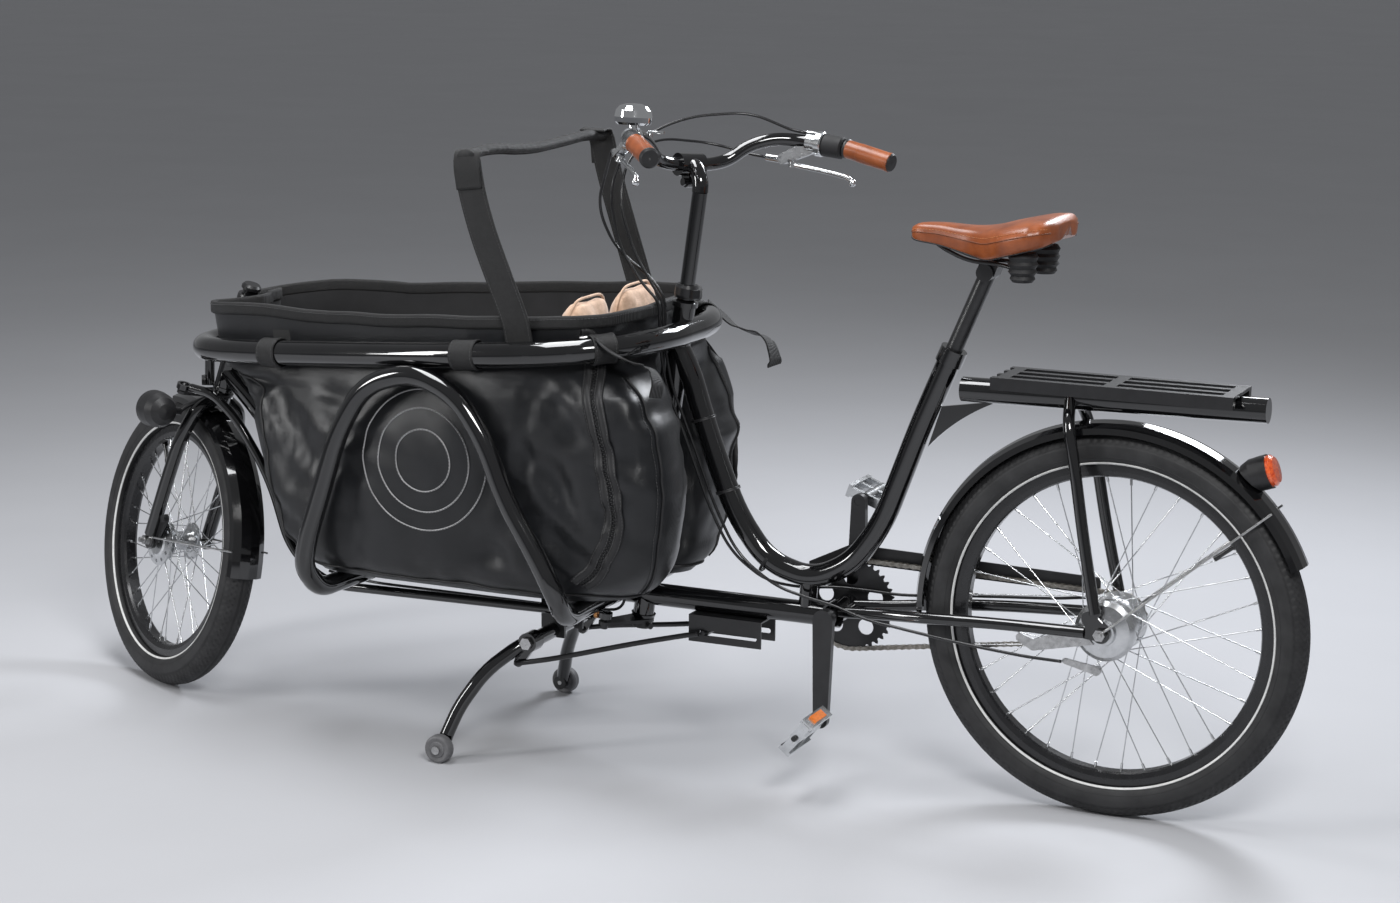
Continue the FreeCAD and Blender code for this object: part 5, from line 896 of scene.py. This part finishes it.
rail_half = [(746, 56), (757, 114), (784, 174), (824, 214), (882, 238), (952, 247), (1040, 245), (1130, 236), (1290, 211), (1467, 176), (1550, 152), (1616, 124), (1652, 76), (1662, 25)]


def rail_at(x, side):
    for (x0, y0), (x1, y1) in zip(rail_half[:-1], rail_half[1:]):
        if x0 <= x <= x1:
            y = y0 + (y1 - y0) * (x - x0) / (x1 - x0)
            d = Vector((x1 - x0, (y1 - y0) * side, -0.09 * (x1 - x0))).normalized()
            return Vector((x, y * side, rail_z(x))), d
    return None, None


P_ = Parts()
for side in (1, -1):
    for x, w in ((1440, 0.040), (1030, 0.046), (808, 0.040)):
        c, d = rail_at(x, side)
        c = D(c.x, c.y - (3 if x < 1100 else 1) * side, c.z)
        rr = 0.0236
        out = Vector((-d.y * side, d.x * side, 0)).normalized() * 1.0
        if out.y * side < 0:
            out = -out
        upv = d.cross(out).normalized()
        if upv.z < 0:
            upv = -upv
        loop = []
        for i in range(26):
            a = math.radians(150 - i * 12.4)
            k = rr + 0.0006 * noise.noise(Vector((i * 0.4, x, side)))
            loop.append(c + out * (k * math.cos(a)) + upv * (k * math.sin(a)))
        # both ends run up and down the cloth behind the tube
        loop = [c - out * 0.0225 + upv * 0.036, c - out * 0.0235 + upv * 0.020] + loop + [c - out * 0.0235 - upv * 0.028]
        P_.add(sweep(loop, flat(w, 0.0022), orient=d), 0)
        for e_ in (-1, 1):
            q = [p + d * e_ * (w / 2 - 0.004) for p in loop]
            nrm = [(p - c).normalized() for p in loop]
            stitches(P_, [q[i] + nrm[i] * 0.0011 for i in range(len(q))], nrm, 1, r=0.0004, lift=0.0003)
# loose tails behind the column
for pts, w in (([(808, 206, 740), (792, 212, 728), (770, 214, 716), (748, 206, 706), (736, 196, 700), (722, 188, 690), (712, 190, 672), (714, 194, 650)], 0.034),
               ([(800, -206, 742), (786, -220, 726), (764, -232, 704), (738, -236, 694), (716, -238, 690), (700, -240, 676), (692, -244, 650), (694, -246, 636)], 0.036)):
    path = cr([D(*p) for p in pts], 10)
    P_.add(sweep(path, flat(w, 0.0022), orient=Vector((0.15, 0.9 if pts[0][1] > 0 else 0.9, 0.35))), 0)
rs = make("rail_straps_soft", P_.v, P_.f, WEB, mats=[WEB, THREAD], fmat=P_.m)
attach(rs, "frame")
for q in (s1, s2, g, rs):
    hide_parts("webbing_straps")

# ------------------------------------------------------------------ saddle
secs = [(98, 30, 945, 20), (99, 56, 950, 27), (109, 88, 957, 40), (124, 98, 957, 45), (140, 101, 955, 47), (180, 88, 946, 50), (215, 60, 937, 50), (250, 38, 934, 42), (300, 26, 936, 34), (336, 20, 934, 28), (349, 13, 929, 20), (353, 5, 925, 10)]
keys = []
for x, hw, zt, h in secs:
    prof = [(0, zt), (hw * 0.28, zt - h * 0.004), (hw * 0.55, zt - h * 0.035), (hw * 0.78, zt - h * 0.10), (hw * 0.93, zt - h * 0.24), (hw, zt - h * 0.46), (hw * 0.985, zt - h * 0.70), (hw * 0.93, zt - h * 0.9), (hw * 0.86, zt - h * 0.985), (hw * 0.78, zt - h), (hw * 0.6, zt - h * 0.93), (hw * 0.3, zt - h * 0.86), (0, zt - h * 0.84)]
    full = prof + [(-a, b) for a, b in reversed(prof[1:-1])]
    keys.append([Vector((x, a, b)) for a, b in full])
krows = []
nseg = 7
for k in range(len(keys[0])):
    krows.append(cr([r[k] for r in keys], nseg))
sad_rows = [[krows[k][i] for k in range(len(krows))] for i in range(len(krows[0]))]
sad_rows = [cr(r, 3, closed=True) for r in sad_rows]
m = len(sad_rows[0])
V_ = [D(*p) for r in sad_rows for p in r]
F_ = []
for i in range(len(sad_rows) - 1):
    for k in range(m):
        l_ = (k + 1) % m
        F_.append((i * m + k, (i + 1) * m + k, (i + 1) * m + l_, i * m + l_))
F_.append(tuple(range(m)))
F_.append(tuple((len(sad_rows) - 1) * m + k for k in range(m))[::-1])
sad = make("saddle_cover", V_, F_, LEATHER)
bm = bmesh.new()
bm.from_mesh(sad.data)
bmesh.ops.recalc_face_normals(bm, faces=bm.faces)
bm.to_mesh(sad.data)
bm.free()
P_ = Parts()
for s in (1, -1):
    for kk, r_, mi in ((15, 0.0011, 0), (24, 0.0014, 1)):
        idx = kk if s > 0 else m - kk
        ps = [D(*sad_rows[i][idx % m]) for i in range(10, len(sad_rows) - 4)]
        P_.add(sweep(ps, circ(r_, 6)), mi)
    idx = 13 if s > 0 else m - 13
    ps = [D(*sad_rows[i][idx % m]) for i in range(12, len(sad_rows) - 6)]
    stitches(P_, ps, Vector((0, 0.7 * s, 0.7)), 2, r=0.0004)
sm_ = make("saddle_seam", P_.v, P_.f, SEAM, mats=[SEAM, PLASTIC, THREADB], fmat=P_.m)
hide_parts("saddle")
for q in (sad, sm_):
    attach(q, "seat")

# ------------------------------------------------------------------ chain of real links
PITCH = 0.0127
ringr = PITCH / 2 / math.sin(math.pi / 38)
sprr = PITCH / 2 / math.sin(math.pi / 19)
CRc, SPc = D(465, -47, 283), D(0, -47, 313.5)
d = CRc - SPc
Lc = d.length
bang = math.atan2(d.z, d.x)
aa = math.acos((ringr - sprr) / Lc)


def pc(c, r, th):
    return c + Vector((r * math.cos(th), 0, r * math.sin(th)))


th_t, th_b = bang + math.pi - aa, bang + math.pi + aa
path = []
for i in range(200):
    path.append(pc(SPc, sprr, th_t).lerp(pc(CRc, ringr, th_t), i / 200))
a0, a1 = th_t, th_b - 2 * math.pi
for i in range(200):
    path.append(pc(CRc, ringr, a0 + (a1 - a0) * i / 200))
for i in range(200):
    path.append(pc(CRc, ringr, th_b).lerp(pc(SPc, sprr, th_b), i / 200))
for i in range(120):
    path.append(pc(SPc, sprr, th_b + (th_t - th_b) * i / 120))
tot = sum((path[(i + 1) % len(path)] - path[i]).length for i in range(len(path)))
nl = int(round(tot / PITCH / 2)) * 2
pts, acc, nxt, step = [], 0.0, 0.0, tot / nl
for i in range(len(path)):
    a, b = path[i], path[(i + 1) % len(path)]
    dd = (b - a).length
    while nxt < acc + dd - 1e-9 and len(pts) < nl:
        pts.append(a.lerp(b, (nxt - acc) / dd))
        nxt += step
    acc += dd
P_ = Parts()
EY = Vector((0, 1, 0))
for i in range(len(pts)):
    a, b = pts[i], pts[(i + 1) % len(pts)]
    t = (b - a).normalized()
    nrm = t.cross(EY)
    outer = i % 2
    for s in (1, -1):
        y = s * (0.0032 if outer else 0.0021)
        loop = []
        for k in range(9):
            an = math.pi / 2 + math.pi * k / 8
            loop.append(a + t * (0.0040 * math.cos(an)) + nrm * (0.0040 * math.sin(an)))
        mid1 = (a + b) / 2 - nrm * 0.0029
        mid2 = (a + b) / 2 + nrm * 0.0029
        loop.append(mid1)
        for k in range(9):
            an = -math.pi / 2 + math.pi * k / 8
            loop.append(b + t * (0.0040 * math.cos(an)) + nrm * (0.0040 * math.sin(an)))
        loop.append(mid2)
        k0 = len(loop)
        vs = [p + EY * (y - 0.0005) for p in loop] + [p + EY * (y + 0.0005) for p in loop]
        fs = [tuple(range(k0)), tuple(range(k0, 2 * k0))[::-1]] + [(k, (k + 1) % k0, (k + 1) % k0 + k0, k + k0) for k in range(k0)]
        P_.add((vs, fs), 0)
    P_.add(sweep([a - EY * 0.0022, a + EY * 0.0022], circ(0.0038, 10)), 0)
    P_.add(sweep([a - EY * 0.0042, a + EY * 0.0042], circ(0.0017, 8)), 0)
ch = make("chain_links", P_.v, P_.f, CHAINM, smooth=False)
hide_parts("chain")
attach(ch, "frame")

# ------------------------------------------------------------------ cables
def part_of(node, name, keep):
    me = nodes[node].data.copy()
    me.name = name
    o = bpy.data.objects.new(name, me)
    bpy.context.scene.collection.objects.link(o)
    bm = bmesh.new()
    bm.from_mesh(me)
    gone = [f for f in bm.faces if not keep(f.calc_center_median())]
    bmesh.ops.delete(bm, geom=gone, context="FACES")
    bmesh.ops.remove_doubles(bm, verts=bm.verts, dist=0.00002)
    bmesh.ops.subdivide_edges(bm, edges=[e for e in bm.edges if e.calc_length() > 0.03], cuts=4)
    bm.to_mesh(me)
    bm.free()
    me.polygons.foreach_set("use_smooth", [True] * len(me.polygons))
    o["dummy"] = 0
    for k in ("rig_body", "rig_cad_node", "dummy"):
        if k in o:
            del o[k]
    return o


xs = D(1050, 0, 0).x
ca = part_of("front_brake_cable", "front_cable_a", lambda c: c.x <= xs)
cb = part_of("front_brake_cable", "front_cable_b", lambda c: c.x > xs)
rc_ = part_of("rear_brake_cable", "rear_cable_all", lambda c: True)
sc_ = part_of("shift_cable", "shift_cable_all", lambda c: True)
# the housing is drawn in where the left crank passes it
for v in rc_.data.vertices:
    dx = (v.co.x - SH.x) * 1000
    if 200 < dx < 420:
        v.co.y -= 0.0075 * math.sin((dx - 200) / 220 * math.pi) ** 1.5
for o, n in ((ca, "front_brake_cable"), (cb, "front_brake_cable"), (rc_, "rear_brake_cable"), (sc_, "shift_cable")):
    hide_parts(n)
for o in (ca, rc_, sc_):
    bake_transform(o)

# clips that hold the cables to the main tube
P_ = Parts()
for p, t in (((716, 0, 583), (-23, 0, -72)), ((670, 0, 466), (-28, 0, -80)), ((596, 0, 352), (-60, 0, -40))):
    c = D(*p)
    tt = Vector(t).normalized()
    u = tt.cross(EY).normalized()
    loop = [c + u * (0.0206 * math.cos(2 * math.pi * i / 36)) + EY * (0.0206 * math.sin(2 * math.pi * i / 36)) for i in range(36)]
    P_.add(sweep(loop, flat(0.0052, 0.0016), closed=True, orient=tt), 0)
cl = make("cable_clips", P_.v, P_.f, PLASTIC)
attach(cl, "frame")

# ------------------------------------------------------------------ stage
fl = bpy.data.meshes.new("floor")
bm = bmesh.new()
bmesh.ops.create_circle(bm, cap_ends=True, radius=30.0, segments=96)
bm.to_mesh(fl)
bm.free()
floor = bpy.data.objects.new("floor", fl)
bpy.context.scene.collection.objects.link(floor)
fl.materials.append(surface("studio_floor", (0.46, 0.465, 0.485), 0.5, var=0.02, var_scale=1.2, rough_var=0.05, bumps=[("noise", 60, 0.02, 0.001)], spec=0.3))

# camera
YAW, PIT, ROL = math.radians(-65.630), math.radians(11.567), math.radians(0.497)
dv = Vector((math.cos(YAW) * math.cos(PIT), math.sin(YAW) * math.cos(PIT), -math.sin(PIT)))
rv = dv.cross(Vector((0, 0, 1))).normalized()
uv = rv.cross(dv).normalized()
r2 = rv * math.cos(ROL) + uv * math.sin(ROL)
u2 = -rv * math.sin(ROL) + uv * math.cos(ROL)
cam = bpy.data.cameras.new("camera")
cam.sensor_width = 36.0
cam.sensor_fit = "HORIZONTAL"
cam.lens = 2930.1 / 1400.0 * 36.0
cam.clip_end = 60
co = bpy.data.objects.new("camera", cam)
bpy.context.scene.collection.objects.link(co)
M = Matrix((r2, u2, -dv)).transposed().to_4x4()
M.translation = Vector((-1.257, 4.369, 1.508)) + SH
co.matrix_world = M
bpy.context.scene.camera = co


def area(name, loc, target, sx, sy, power, col=(1, 1, 1)):
    l = bpy.data.lights.new(name, "AREA")
    l.shape = "RECTANGLE"
    l.size, l.size_y = sx, sy
    l.energy = power
    l.color = col
    o = bpy.data.objects.new(name, l)
    bpy.context.scene.collection.objects.link(o)
    z = (Vector(loc) - Vector(target)).normalized()
    o.matrix_world = Matrix.Translation(Vector(loc)) @ z.to_track_quat("Z", "Y").to_matrix().to_4x4()
    return o


area("key", (-2.1, 2.6, 2.9), (0, 0, 0.4), 1.2, 0.8, 92)
area("top", (0.6, 0.2, 3.2), (0.1, 0, 0.3), 2.6, 1.0, 84, (0.97, 0.98, 1.0))
area("side", (2.8, 2.6, 1.8), (0.2, 0, 0.4), 0.6, 1.6, 60)
area("back", (-0.9, -2.2, 2.3), (0, -0.2, 0.2), 1.2, 0.7, 62, (0.92, 0.95, 1.0))
w = bpy.data.worlds.new("studio")
w.use_nodes = True
w.node_tree.nodes["Background"].inputs[0].default_value = (0.62, 0.63, 0.65, 1)
w.node_tree.nodes["Background"].inputs[1].default_value = 0.36
bpy.context.scene.world = w
bpy.context.scene.view_settings.view_transform = "Standard"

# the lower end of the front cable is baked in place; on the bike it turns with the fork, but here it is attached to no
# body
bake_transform(cb)
